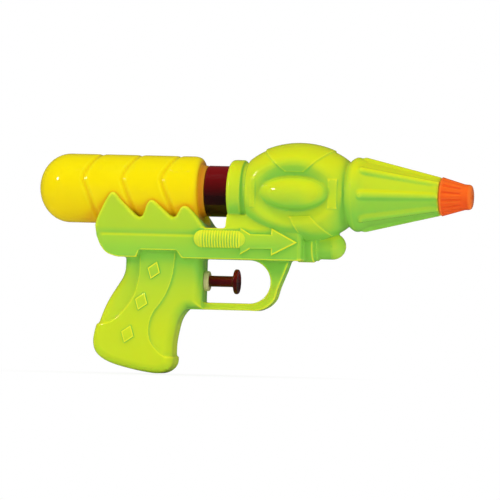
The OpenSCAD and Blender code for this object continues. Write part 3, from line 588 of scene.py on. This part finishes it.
def cone_rib(turn):
    """A round-nosed rib that tapers along the cone."""
    thick, thin, length, sunk = 2.7, 2.1, 40.4, 1.55
    form, nose = bmesh.new(), bmesh.new()
    bmesh.ops.create_cone(form, cap_ends=True, segments=32, radius1=thick, radius2=thin,
                          depth=length)
    bmesh.ops.create_uvsphere(nose, u_segments=32, v_segments=16, radius=thick)
    form = gathered([form, moved(nose, 0, 0, -length / 2)])
    # stands along X, its middle under the skin half way down the cone, then turns round the barrel
    lean = math.atan((CONE_R - CONE_END_R) / (CONE_END - RIM_END))
    mid = (RIM_END + 0.8 + CONE_END - 0.2) / 2
    under_skin = Matrix.Translation((mid, 0, cone_at(mid) - sunk))
    place = (Matrix.Translation((0, 0, BARREL_Z)) @ Matrix.Rotation(turn, 4, "X")
             @ under_skin @ Matrix.Rotation(QUARTER + lean, 4, "Y"))
    bmesh.ops.transform(form, matrix=place, verts=form.verts)
    return form


def barrel_forms():
    """Collar, bulb, rim and cone in one turning, with the dome and the cone's ribs."""
    edge, flat, rise, fall = 0.4, 0.75, 3, 5
    collar = [(44.4, 0), (44.4, 14.6), (44.7, 15.5), (45.3, 16.1), (46.2, 16.5), (51.4, 16.5),
              (51.9, 16.2), (52.3, 15.4), (52.9, 15.0), (BULB_X0, 15.0)]
    bulb = [(x, bulb_at(x)) for x in steps_between(BULB_X0, BULB_X1, 40)]
    rim = [(108.2, 17.6), (109.3, 18.5), (110.4, 19.1), (111.2, 19.3), (112.2, 19.2),
           (113.2, 18.9), (RIM_END, CONE_R)]
    cone = [(x, cone_at(x)) for x in steps_between(RIM_END, CONE_END - edge, 24)[1:]]
    end = [(CONE_END, CONE_END_R - edge), (CONE_END, 0)]
    barrel = lathe(collar + bulb + rim + cone + end, steps=144)
    # the cone lies flatter between its ribs
    facet = math.tau / CONE_RIBS
    for v in barrel.verts:
        if RIM_END < v.co.x < CONE_END - edge:
            y, z = v.co.y, v.co.z - BARREL_Z
            turn = (math.atan2(y, z) % facet) - facet / 2
            share = (flat * eased_step(RIM_END, RIM_END + rise, v.co.x)
                     * (1 - eased_step(CONE_END - fall, CONE_END, v.co.x)))
            k = 1 - share * (1 - math.cos(facet / 2) / math.cos(turn))
            v.co.y, v.co.z = y * k, z * k + BARREL_Z
    barrel = worked(barrel, bowl(), "DIFFERENCE")
    return [barrel, dome()] + [cone_rib(i * facet) for i in range(CONE_RIBS)]


# raised panels round the bulb: share of the rise, and (x, z) from the middle of the bowl
PANELS = [(1.0, [(-5, 11.0), (5, 11.0), (26, 28.5), (-26, 28.5)]),
          (1.0, [(6.4, -27), (22.6, -25), (9.0, -11.5), (-2.4, -12.2)]),
          (0.4, [(-23.2, -7.7), (-20.3, -7.7), (-20.3, 7.7), (-23.2, 7.7)]),
          (0.8, [(17.8, -7.7), (22.8, -7.7), (22.8, 7.7), (17.8, 7.7)])]


def raise_panels(form):
    """Lifts the skin of the bulb by the panels' height, but not the dome or what joins the bulb."""
    soft, margin = 0.35, 0.5
    joins, joined, inside = 0.25, 0.9, -13
    dome_foot, dome_clear = 1.02, 1.12
    form.normal_update()
    lifts = []
    for v in form.verts:
        x, y, z = v.co.x - BULB_MID, v.co.y, v.co.z - BARREL_Z
        if y > margin or not BULB_X0 + margin < v.co.x < BULB_X1 - margin:
            continue
        out = math.hypot(y, z) - bulb_at(v.co.x)
        egg_share = math.sqrt((x / DOME_HALF) ** 2 + ((y + DOME_Y) ** 2 + z * z) / DOME_R ** 2)
        if out > joined or out < inside or egg_share < dome_foot:
            continue
        lift = max(share * eased_step(-soft, soft, inside_by(line, x, z)) for share, line in PANELS)
        lift *= 1 - eased_step(joins, joined, out)
        lift *= eased_step(dome_foot, dome_clear, egg_share)
        if lift > 0:
            lifts.append((v, v.normal * (PANEL_RISE * lift)))
    for v, move in lifts:
        v.co += move


def crest(reach):
    """Picks the skin near the crest between the bulb and the hollow in its side."""
    side_y, half_len = -8, 25

    def pick(p):
        x, y, z = p.x - BULB_MID, p.y, p.z - BARREL_Z
        if y > side_y or abs(x) > half_len:
            return False
        hollow = math.sqrt((x / BOWL_HALF) ** 2 + ((y + BOWL_Y) ** 2 + z * z) / BOWL_R ** 2)
        return abs(hollow - 1) * BOWL_R < reach and abs(math.hypot(y, z) - bulb_at(p.x)) < reach
    return pick


# saddle and receiver

def saddle_form():
    """The toothed wall that the tank lies in, leaning outwards."""
    teeth = through([(-24.4, 46.5), (-21.8, 53), (-15, 63.8), (-9, 58.6), (-0.4, 50.8), (3.4, 58),
                     (6.4, 60.2), (10.4, 57), (17.4, 51.2), (21, 56), (23.8, 57.4), (27.4, 54.6),
                     (34, 46)], 6)
    foot, edge, inward = CREASE_Z - 4, 1.9, 1.4
    outline = teeth + [(34, foot), (-20.6, foot), (-23.8, CREASE_Z)]
    form = pillow(outline, RECV_W - edge, edge, inward, 5)
    lean = (SADDLE_W - RECV_W + 1.2) / (BARREL_Z - CREASE_Z)
    for v in form.verts:
        if v.co.y < -5:
            v.co.y -= lean * (v.co.z - foot)
    plan = plan_block([(-25.4, 1), (-25.4, -13), (-24.9, -15.2), (-23.6, -17.4), (-21.6, -19.2),
                       (-18.6, -20.6), (60, -20.6), (60, 1)])
    return worked(form, plan, "INTERSECT")


def under_form():
    """The stepped, round-nosed cylinder under the barrel."""
    nose_x = 98.65
    nose = [(nose_x + UNDER_R * math.sin(a), UNDER_R * math.cos(a))
            for a in steps_between(0, QUARTER, 10)]
    return lathe([(80.9, 0), (80.9, 8.6), (88.8, 8.6), (89.5, 8.2), (89.9, 7.75), (91.3, 7.75),
                  (91.8, 7.2), (92.2, UNDER_R)] + nose, z=UNDER_Z, steps=72)


def receiver_forms():
    """The block under the barrel, its neck up to the barrel, and the cylinder."""
    rear = through([(-24, CREASE_Z), (-23, CREASE_Z - 2.3), (-21, 35.5), (-17.4, 31.8),
                    (-12, RECV_Z)], 6)
    rest = [(-2, RECV_Z), (-0.6, RECV_Z + 4), (19.2, RECV_Z + 4), (22.2, RECV_Z),
            (BLOCK_X, RECV_Z), (BLOCK_X, RECV_TOP), (34, RECV_TOP), (33, CREASE_Z)]
    block = eased(side_plate(rear + rest, 1, -RECV_W), at_y(-RECV_W), 1.2, 4)
    plan = plan_block([(-25.4, 1), (-25.4, -10), (-24.8, -12.2), (-23.4, -14), (-21.4, -15.3),
                       (-19, -16), (83, -16), (84.5, -15), (BLOCK_X, -13.6), (BLOCK_X, 1)])
    block = worked(block, plan, "INTERSECT")
    neck = cross_bar([(-RECV_W, RECV_TOP - 1), (-RECV_W, RECV_TOP), (-12.5, RECV_TOP + 7),
                      (1, RECV_TOP + 7), (1, RECV_TOP - 1)], 44.6, BLOCK_X)
    return [block, neck, under_form()]


def arrow_form():
    """The raised arrow on the receiver's side."""
    z, face = RECV_Z + 9.5, -RECV_W - ARROW_RISE
    upper = [(ARROW_X, 7), (58.4, 3.8), (69.4, 3.8), (69.4, 7.2)]
    outline = ([(x, z + up) for x, up in upper] + [(83.2, z)]
               + [(x, z - up) for x, up in reversed(upper)])
    return eased(side_plate(outline, -13.9, face), at_y(face), 0.75, 3)


def pill_form():
    """A capsule laid in the receiver's side, ribbed across."""
    z, r, x0, x1 = PILL_Z, PILL_R, PILL_X0, PILL_X1
    rib_out, rib_up = 0.36, 0.12
    arc = steps_between(0, QUARTER, 14)
    line = [(x0 - r * math.cos(a), r * math.sin(a)) for a in arc]
    line += [(x, r) for x in steps_between(x0, x1, 110)[1:-1]]
    line += [(x1 + r * math.sin(a), r * math.cos(a)) for a in arc]
    form = lathe(line, z=0.0, steps=72)
    for v in form.verts:
        round_y, round_z = v.co.y / r, v.co.z / r
        share = (eased_step(x0 - 2.4, x0 - 0.6, v.co.x)
                 * (1 - eased_step(x1 + 0.6, x1 + 2.4, v.co.x)))
        wave = share * (0.5 + 0.5 * math.cos(math.tau * (v.co.x - x0) / PILL_PITCH))
        v.co.y = round_y * (PILL_RISE + rib_out * wave) - RECV_W
        v.co.z = round_z * (r + rib_up * wave) + z
    return form


def on_pill(face):
    """Whether a face is the pill's, and over the arrow's tail only where the pill stands out."""
    at = face.calc_center_median()
    past_end = max(at.x - PILL_X1, PILL_X0 - at.x, 0.0)
    return (abs(at.y) > RECV_W + 0.5 and math.hypot(past_end, at.z - PILL_Z) < PILL_R + 0.1
            and PILL_X0 - PILL_R < at.x
            and (at.x < ARROW_X or abs(at.y) > RECV_W + ARROW_RISE + 0.05))


# grip and trigger guard

GRIP_LINE = through([(-9.6, 46.2), (-9.1, 27), (-10, 20.7), (-13, 15.4), (-17, 9), (-19.8, 3.3),
                     (-22.0, -2.6), (-23.8, -8.6), (-24.5, -14), (-23.3, -18.6), (-19.8, -22),
                     (-14, -24.6), (-6, -26.7), (3, -28.4), (9.5, -28.9), (13.6, -27.4),
                     (16, -24.4), (16.3, -20), (16.5, -14), (17.5, -8), (19, -2), (21.4, 2),
                     (24, 4.5)], 4)
GRIP_LINE += [(GRIP_FRONT, 4.5), (GRIP_FRONT, 46.2)]
BOOT_LINE = through([(-0.9, 40), (-0.7, 23.4), (-1.6, 16.7), (-3.5, 10.4), (-6.5, 5.2), (-10.1, 1),
                     (-14.2, -2.8), (-19, -4.4), (-30, -5)], 5) + [(-30, -36), (24, -36)]
BOOT_LINE += through([(24, -21.6), (17.2, -20.9), (13.2, -20.7), (10.5, -18.9), (7.8, -16.2),
                      (5.6, -12.6), (4.9, -8.5), (5.3, -3.3), (7.3, 1.9), (10.9, 6.7), (13.9, 11.9),
                      (16.4, 18.7), (17.7, 26.5), (18.6, 40)], 5)


def grip_forms():
    """The grip, and the raised panel that wraps its lower half."""
    round_deep, round_in, boot_out, boot_up = 6.0, 4.4, 0.9, 1.1
    core = pillow(GRIP_LINE, GRIP_W, round_deep, round_in)
    boot = pillow(grown_line(GRIP_LINE, boot_out), GRIP_W + boot_up, round_deep, round_in)
    return [core, worked(boot, side_plate(BOOT_LINE, 2, -60), "INTERSECT")]


def guard_form():
    """The trigger guard round its opening."""
    front = through([(56, GUARD_Z), (61, GUARD_Z + 0.1), (66, GUARD_Z + 2.4),
                     (69.4, GUARD_Z + 6.2), (71, GUARD_Z + 11.4), (73, GUARD_Z + 16.5),
                     (75.2, GUARD_Z + 22), (78, RECV_Z + 4)], 5)
    form = side_plate([(20, RECV_Z + 4), (20, GUARD_Z)] + front, 1, -GUARD_W)
    mid, half = (OPEN_Z0 + OPEN_Z1) / 2, (OPEN_Z1 - OPEN_Z0) / 2
    arc = [(OPEN_X + OPEN_R * math.sin(a), mid - half * math.cos(a))
           for a in steps_between(0, math.pi, 20)]
    hole = side_plate([(GRIP_FRONT, OPEN_Z1), (GRIP_FRONT, OPEN_Z0)] + arc, 3, -20)
    return eased(worked(form, hole, "DIFFERENCE"), at_y(-GUARD_W), 1.6, 4)


def diamond_forms():
    """The three raised diamonds on the grip."""
    lean, face = math.radians(19.5), -GRIP_W - DIAMOND_RISE
    cos, sin = math.cos(lean), math.sin(lean)
    forms = []
    for x, z in ((7.1, 23.4), (0.8, 7.2), (-6.1, -9.8)):
        outline = [(x + a * cos + b * sin, z - a * sin + b * cos)
                   for a, b in ((3.8, 0), (0, 5.2), (-3.8, 0), (0, -5.2))]
        forms.append(eased(side_plate(outline, -9, face), at_y(face), 0.85, 2))
    return gathered(forms)


# body shells

def outer_skin():
    """The skin over the right half, cast in one and rubbed soft where the forms meet."""
    grain, shoulder_z, saddle_x, saddle_y = 0.46, 46.5, 34.5, -10
    crest_rubs = ((4.5, 40), (3.2, 40), (2.0, 30))
    form = cast(barrel_forms() + [saddle_form()] + receiver_forms() + grip_forms()
                + [guard_form()], grain)
    rubbed(form, 5)
    for reach, passes in crest_rubs:
        rubbed(form, passes, crest(reach))
    rubbed(form, 16, lambda p: p.x < saddle_x and p.z > shoulder_z and p.y < saddle_y)
    raise_panels(form)
    rubbed(form, 1, lambda p: BULB_X0 < p.x < BULB_X1 and p.z > shoulder_z)
    return form


def hollow_forms():
    """What is hollow in the right half, from the barrel down to the grip."""
    seat, flange, tip_neck, tip_lip = 13.35, 14.55, 7.05, 8.25
    line = [(42.8, 0), (42.8, seat), (46.2, seat), (46.2, flange), (48.3, flange), (48.3, seat)]
    line += [(x, bulb_at(x) - WALL) for x in steps_between(BULB_X0 + 0.8, BULB_X1 - 0.8, 24)]
    line += [(RIM_END, 15.5), (148.6, 8.6), (149.0, tip_neck), (149.7, tip_lip), (151.9, tip_lip),
             (151.9, tip_neck), (156.2, tip_neck), (156.2, 0)]
    bore = worked(lathe(line), bowl(WALL), "DIFFERENCE")
    cradle = rod(TANK_REAR - 2, 36.2, TANK_R + 0.3, steps=128)
    in_w = RECV_W - WALL
    upper = side_plate([(-19, 44.8), (-17, 36), (-13, 32.1), (-4, 32.1), (-3, 36), (82.8, 36),
                        (82.8, 44.8)], 1, -in_w)
    lower = side_plate([(22, 32.1), (82.8, 32.1), (82.8, 38), (22, 38)], 1, -in_w)
    shaft = box(52.8, 82.8, -7, 1, 43.8, 58.0)
    grip = side_plate([(-6, 38), (-6, 24), (-9.6, 14.5), (-16.6, 3), (-20.6, -8), (-21, -14),
                       (-18, -19.4), (-8, -23), (8, -25.4), (12, -23), (12.6, -16), (14.4, -4),
                       (18, 5), (24, 8), (29.2, 9), (29.2, 38)], 1, -8.9)
    return [bore, dome(-WALL), cradle, upper, lower, shaft, grip,
            rod(81.8, 98.3, UNDER_R - WALL, z=UNDER_Z), rod(28.2, 33.5, 4.3, z=TRIGGER_Z)]


def pump_ribs():
    """Two ribs inside the grip that hold the pump."""
    thick, pump_fit = 2.2, 6.25
    ribs = gathered([box(x, x + thick, -9.7, -SEAM, 9.5, 26.5) for x in (12.3, 24.1)])
    return worked(ribs, rod(0, 40, pump_fit, z=TRIGGER_Z), "DIFFERENCE")


def body_shells():
    """The right and the left body half, hollow and with their screw posts."""
    post_r, pilot_r, boss_r, shank_r, well_r, well_floor = 2.9, 1.25, 3.9, 1.35, 2.65, 4.5
    right = worked(outer_skin(), box(-80, 200, -40, -SEAM, -60, 120), "INTERSECT")
    nose = worked(under_form(), box(80, 120, -40, -SEAM, 0, 80), "INTERSECT")
    for extra in (nose, arrow_form(), pill_form(), diamond_forms()):
        right = worked(right, extra, "UNION")
    for hollow in hollow_forms():
        right = worked(right, hollow, "DIFFERENCE")
    right = worked(right, pump_ribs(), "UNION")
    left = right.copy()
    whole = left.verts[:] + left.edges[:] + left.faces[:]
    bmesh.ops.mirror(left, geom=whole, axis="Y", merge_dist=0.0)
    bmesh.ops.delete(left, geom=[v for v in left.verts if v.co.y < 0], context="VERTS")
    bmesh.ops.recalc_face_normals(left, faces=left.faces)

    posts = gathered([pin(x, z, post_r, -end, -SEAM) for x, z, end in SCREWS])
    pilots = gathered([pin(x, z, pilot_r, -6.6, 1) for x, z, _ in SCREWS])
    right = worked(worked(right, posts, "UNION"), pilots, "DIFFERENCE")
    bosses = gathered([pin(x, z, boss_r, SEAM, end) for x, z, end in SCREWS])
    shanks = gathered([pin(x, z, shank_r, -1, 6) for x, z, _ in SCREWS])
    wells = gathered([pin(x, z, well_r, well_floor, 40) for x, z, _ in SCREWS])
    left = worked(worked(left, bosses, "UNION"), shanks, "DIFFERENCE")
    return right, worked(left, wells, "DIFFERENCE")


right_shell, left_shell = body_shells()
for shell in (right_shell, left_shell):
    # seam faces keep no painted highlight or shade; the pill gets the painted highlight of an edge
    mark_turns(shell, lambda face: abs(face.normal.y) > 0.99, on_pill)
piece(right_shell, "right_shell", "gun_body", "right_body", LIME)
piece(left_shell, "left_shell", "gun_body", "left_body", LIME)


# tank

def tank_shell():
    """The blown tank with its wall, neck and grooves."""
    pole, neck_r, neck_len, corner, bend = 0.07, 14.0, 8.2, 5.4, 0.75
    dome_x, neck_x, in_r = TANK_REAR + TANK_DOME, TANK_FRONT - neck_len, TANK_R - TANK_WALL
    outer = [(TANK_REAR, 0)]
    outer += [(dome_x - TANK_DOME * math.cos(a), TANK_R * math.sin(a))
              for a in steps_between(pole, QUARTER, 20)]
    outer += [(x, TANK_R) for x in steps_between(dome_x, neck_x, 74)[1:-1]]
    outer += [(neck_x + corner * math.sin(a) ** bend,
               neck_r + (TANK_R - neck_r) * max(math.cos(a), 0) ** bend)
              for a in steps_between(0, QUARTER, 14)]
    outer += [(TANK_FRONT - 2.4, 13.6), (TANK_FRONT - 1.4, 13.3), (TANK_FRONT - 0.4, 13.1),
              (TANK_FRONT, 12.8), (TANK_FRONT, MOUTH_R)]
    inner = [(TANK_FRONT - MOUTH_LEN, MOUTH_R), (TANK_FRONT - MOUTH_LEN, 13.4),
             (TANK_FRONT - 9.4, in_r), (dome_x, in_r)]
    inner += [(dome_x - (TANK_DOME - TANK_WALL) * math.cos(a), in_r * math.sin(a))
              for a in steps_between(QUARTER, pole, 12)]
    inner += [(TANK_REAR + TANK_WALL, 0)]
    form = lathe(outer + inner, steps=192)

    # each groove is a soft arrow: its point lies above the flank's middle, its arms lean forward
    turn, lean, blunt, wide, deep = math.radians(19), math.radians(24), 1.8, 0.95, 0.75
    fade_x, fade_len, skin = TANK_FRONT - 8.5, 3, 0.4
    for v in form.verts:
        x, y, z = v.co.x, v.co.y, v.co.z - BARREL_Z
        r = math.hypot(y, z)
        if r < TANK_R - skin:
            continue
        arm = math.hypot(z * math.cos(turn) + y * math.sin(turn), blunt) - blunt
        dip = 0.0
        for tip in (-30.6, -10.0, 10.6):
            off = (x - tip - math.tan(lean) * arm) * math.cos(lean)
            dip = max(dip, math.exp(-(off / wide) ** 2))
        fade = min(1.0, max(0.0, (fade_x - x) / fade_len))
        k = 1 - deep * dip * fade / r
        v.co.y, v.co.z = y * k, z * k + BARREL_Z
    bmesh.ops.recalc_face_normals(form, faces=form.faces)
    return form


piece(mark_turns(tank_shell()), "tank_shell", "tank", "water_tank", YELLOW,
      crease=50)


# nozzle tip, trigger, bush

def tip_form():
    """The fluted nozzle tip."""
    x0, x1, r1 = TIP_X + 0.7, 166.9, 6.9
    flute_x0, flute_x1, run_in, run_out, deep = 156.2, 167.0, 1.4, 1.8, 0.7
    line = [(149.8, TIP_SEAT), (149.8, 8.1), (151.8, 8.1), (151.8, r1), (TIP_X, r1), (TIP_X, 9.2),
            (155.5, 9.8), (x0, TIP_R)]
    line += [(x, TIP_R + (r1 - TIP_R) * (x - x0) / (x1 - x0))
             for x in steps_between(x0, x1, 22)[1:]]
    line += [(167.3, 6.72), (168.6, 6.6), (169.8, 6.55), (170.5, 6.35), (171.0, 5.95),
             (TIP_END, 5.3), (TIP_END, TIP_HOLE), (165.3, TIP_HOLE), (165.3, TIP_SEAT),
             (149.8, TIP_SEAT)]
    form = lathe(line, steps=168)
    for v in form.verts:
        x, y, z = v.co.x, v.co.y, v.co.z - BARREL_Z
        r = math.hypot(y, z)
        if flute_x0 < x < flute_x1 and r > 6:
            wave = 0.5 - 0.5 * math.cos(TIP_FLUTES * math.atan2(y, z) + math.pi)
            ends = min(1.0, (x - flute_x0) / run_in) * min(1.0, (flute_x1 - x) / run_out)
            k = 1 - deep * (wave ** 3) * ends / r
            v.co.y, v.co.z = y * k, z * k + BARREL_Z
    return form


def plunger_form():
    """The trigger's rod and round button."""
    peg_r, rod_r = 1.6, 2.85
    arc = steps_between(0, QUARTER, 6)
    line = [(20.6, 0), (20.6, peg_r), (24.0, peg_r), (24.0, rod_r), (45.9, rod_r), (46.4, 3.0),
            (46.9, 3.5), (47.2, 4.2), (47.3, 5.2), (47.35, 5.7)]
    line += [(48.1 - 0.75 * math.cos(a), 5.7 + 0.75 * math.sin(a)) for a in arc[1:]]
    line += [(48.7 + 0.8 * math.sin(a), 5.65 + 0.8 * math.cos(a)) for a in arc]
    line += [(49.4, 5.1), (49.1, 4.5), (48.85, 3.6), (48.7, 2.0), (48.65, 0)]
    return lathe(line, z=TRIGGER_Z, steps=64)


def bush_form():
    """The ring that guides the trigger's rod."""
    return lathe([(24.1, 2.95), (24.1, 3.9), (24.4, 4.15), (31.6, 4.15), (31.6, 5.0), (31.8, 5.2),
                  (33.5, 5.2), (34.0, 5.0), (34.2, 4.6), (34.2, 3.4), (33.9, 2.95), (24.1, 2.95)],
                 z=TRIGGER_Z, steps=64)


piece(mark_turns(tip_form()), "fluted_tip", "gun_body", "nozzle_tip", ORANGE)
piece(plunger_form(), "trigger_button", "trigger", "trigger_plunger", TRIGGER_RED)
piece(mark_turns(bush_form()), "rod_bush", "gun_body", "guide_bush", OLIVE)


# springs, built at rest; the real ones shorten as the trigger is pulled and the valves lift

def coil_form(r, wire, length, turns):
    """A wound wire along Z, from 0 to its length."""
    sides, steps = 10, round(24 * turns)
    form = bmesh.new()
    bmesh.ops.create_circle(form, segments=sides, radius=wire)
    moved(turned(form, QUARTER, "X"), r, 0, wire)
    bmesh.ops.spin(form, geom=form.verts[:] + form.edges[:], cent=(0, 0, 0), axis=(0, 0, 1),
                   angle=math.tau * turns, dvec=(0, 0, (length - 2 * wire) / steps), steps=steps)
    bmesh.ops.holes_fill(form, edges=[e for e in form.edges if e.is_boundary])
    bmesh.ops.recalc_face_normals(form, faces=form.faces)
    return form


RETURN_R, RETURN_WIRE, RETURN_TURNS = 3.5, 0.3, 5.5
RETURN_X0, RETURN_X1, PULL = 3.59, 18.91, 10.5
VALVE_R, VALVE_WIRE, VALVE_TURNS = 1.1, 0.14, 3
VALVE_X, VALVE_Y, VALVE_LENGTH, LIFT = 7.1, 3.2, 2.38, 1.0
INLET_Z, OUTLET_Z = 23.46, 25.98

return_coil = coil_form(RETURN_R, RETURN_WIRE, RETURN_X1 - RETURN_X0, RETURN_TURNS)
moved(turned(return_coil, QUARTER, "Y"), RETURN_X0, 0, TRIGGER_Z)
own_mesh(piece(return_coil, "return_coil", "gun_body", "return_spring", STEEL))
# the last value is the end at which each coil is held, the inlet's at its foot and the outlet's at
# its top; it is not used
for valve, y, z, held in (("inlet", VALVE_Y, INLET_Z, INLET_Z),
                          ("outlet", -VALVE_Y, OUTLET_Z, OUTLET_Z + VALVE_LENGTH)):
    coil = moved(coil_form(VALVE_R, VALVE_WIRE, VALVE_LENGTH, VALVE_TURNS), VALVE_X, y, z)
    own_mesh(piece(coil, valve + "_coil", "gun_body", valve + "_spring", STEEL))

# pieces that show as they are in the part
for finish, names in ((SOCKET_RED, ["tank_socket"]),
                      (HOSE, ["inlet_hose", "outlet_hose", "dip_tube"]),
                      (RUBBER, ["seal_ring", "piston_seal", "vent_flap"]),
                      (STEEL, ["body_screws", "inlet_ball", "outlet_ball"]),
                      (WHITE, ["jet_insert", "piston", "pump_body", "inlet_cap", "outlet_cap"])):
    for name in names:
        nodes[name].data.materials.clear()
        nodes[name].data.materials.append(finish)


# stage: camera at the photograph's angle, soft light from the upper left, white ground

def set_camera(scene):
    turn, roll, width = math.radians(12), math.radians(1.413), 0.2585
    lens, sensor = 1200.0, 36.0
    aim = Vector((0.0549, 0.0, 0.0351))
    away = Vector((math.sin(turn), -math.cos(turn), 0.0))
    camera = bpy.data.objects.new("camera", bpy.data.cameras.new("camera"))
    camera.data.lens, camera.data.sensor_width = lens, sensor
    camera.data.clip_start, camera.data.clip_end = 0.05, 50.0
    place = (-away).to_track_quat("-Z", "Y").to_matrix().to_4x4() @ Matrix.Rotation(roll, 4, "Z")
    camera.matrix_world = Matrix.Translation(aim + away * (width * lens / sensor)) @ place
    scene.collection.objects.link(camera)
    scene.camera = camera


# place, aim, size and watts of each lamp; only the key shows in the gloss
MIDDLE = (0.055, 0, 0.04)
LAMPS = {"key": ((-0.80, -0.74, 0.60), MIDDLE, 0.17, 2.9),
         "top": ((-0.2, -0.36, 1.2), MIDDLE, 0.5, 4.9),
         "front": ((0.26, -1.2, 0.12), MIDDLE, 0.5, 1.7),
         "side": ((1.1, -0.3, 0.15), MIDDLE, 0.6, 4.2),
         "low": ((-0.35, -0.7, -0.02), (0.0, 0, 0.03), 0.5, 0.8),
         "back": ((-0.3, 1.2, 0.5), MIDDLE, 0.9, 4.0)}
WARM, PLAIN = (1.0, 0.99, 0.96), (1, 1, 1)


def set_lamps(scene):
    for name, (where, aimed, size, watts) in LAMPS.items():
        data = bpy.data.lights.new(name, "AREA")
        data.shape, data.size, data.energy = "DISK", size, watts
        data.color = WARM if name == "key" else PLAIN
        item = bpy.data.objects.new(name, data)
        scene.collection.objects.link(item)
        item.location = where
        item.rotation_euler = (Vector(aimed) - Vector(where)).to_track_quat("-Z", "Y").to_euler()
        item.visible_glossy = name == "key"


def set_world(scene):
    """Even light, dimmer in the gloss so that it lays no veil on the plastic. The camera sees plain
    white, also through clear plastic."""
    light, gloss_light = 0.38, 0.08
    world = bpy.data.worlds.new("studio")
    scene.world = world
    world.use_nodes = True
    tree = world.node_tree
    even, white = tree.nodes["Background"], tree.nodes.new("ShaderNodeBackground")
    even.inputs["Color"].default_value = (0.97, 0.98, 1.0, 1.0)
    white.inputs["Color"].default_value = (1, 1, 1, 1)
    path = tree.nodes.new("ShaderNodeLightPath")
    dim, seen = tree.nodes.new("ShaderNodeMath"), tree.nodes.new("ShaderNodeMath")
    dim.operation, seen.operation = "MULTIPLY_ADD", "MAXIMUM"
    dim.inputs[1].default_value, dim.inputs[2].default_value = gloss_light - light, light
    mix = tree.nodes.new("ShaderNodeMixShader")
    for out, into in ((path.outputs["Is Glossy Ray"], dim.inputs[0]),
                      (dim.outputs[0], even.inputs["Strength"]),
                      (path.outputs["Is Camera Ray"], seen.inputs[0]),
                      (path.outputs["Is Transmission Ray"], seen.inputs[1]),
                      (seen.outputs[0], mix.inputs[0]),
                      (even.outputs[0], mix.inputs[1]),
                      (white.outputs[0], mix.inputs[2]),
                      (mix.outputs[0], tree.nodes["World Output"].inputs["Surface"])):
        tree.links.new(out, into)


def set_floor():
    wide, near, far, near_share = 1.6, 0.02, 0.12, 0.85
    form = bmesh.new()
    bmesh.ops.create_circle(form, cap_ends=True, segments=96, radius=wide)
    floor = shelved(moved(form, 0.055, 0.0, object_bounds()[0][2] - 0.0006), "floor")
    f = Finish("pale_floor")
    path = f.node("ShaderNodeLightPath")
    pale = f.ramp(f.noise(3.0, 3.0), [(0.3, 0.93), (0.7, 0.96)])
    f.feed(f.mix(path.outputs["Is Glossy Ray"], pale, (0.12, 0.12, 0.12)), "Base Color")
    f.set(Roughness=0.7)
    # near the squirter the floor shows its shadow; further off it is plain white to the camera
    off = f.node("ShaderNodeVectorMath", operation="DISTANCE")
    f.wire(f.coords(), off.inputs[0])
    off.inputs[1].default_value = (0.01, 0.0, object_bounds()[0][2])
    plain = f.span(off.outputs["Value"], near, far, near_share, 1.0)
    blend = f.node("ShaderNodeMixShader")
    f.wire(f.maths("MULTIPLY", plain, path.outputs["Is Camera Ray"]), blend.inputs[0])
    f.wire(f.shader.outputs[0], blend.inputs[1])
    f.wire(f.node("ShaderNodeEmission", Strength=1.0).outputs[0], blend.inputs[2])
    f.wire(blend.outputs[0], f.tree.nodes["Material Output"].inputs["Surface"])
    floor.data.materials.append(f.material)


studio = bpy.context.scene
studio.view_settings.view_transform = "Standard"
set_camera(studio)
set_lamps(studio)
set_world(studio)
set_floor()
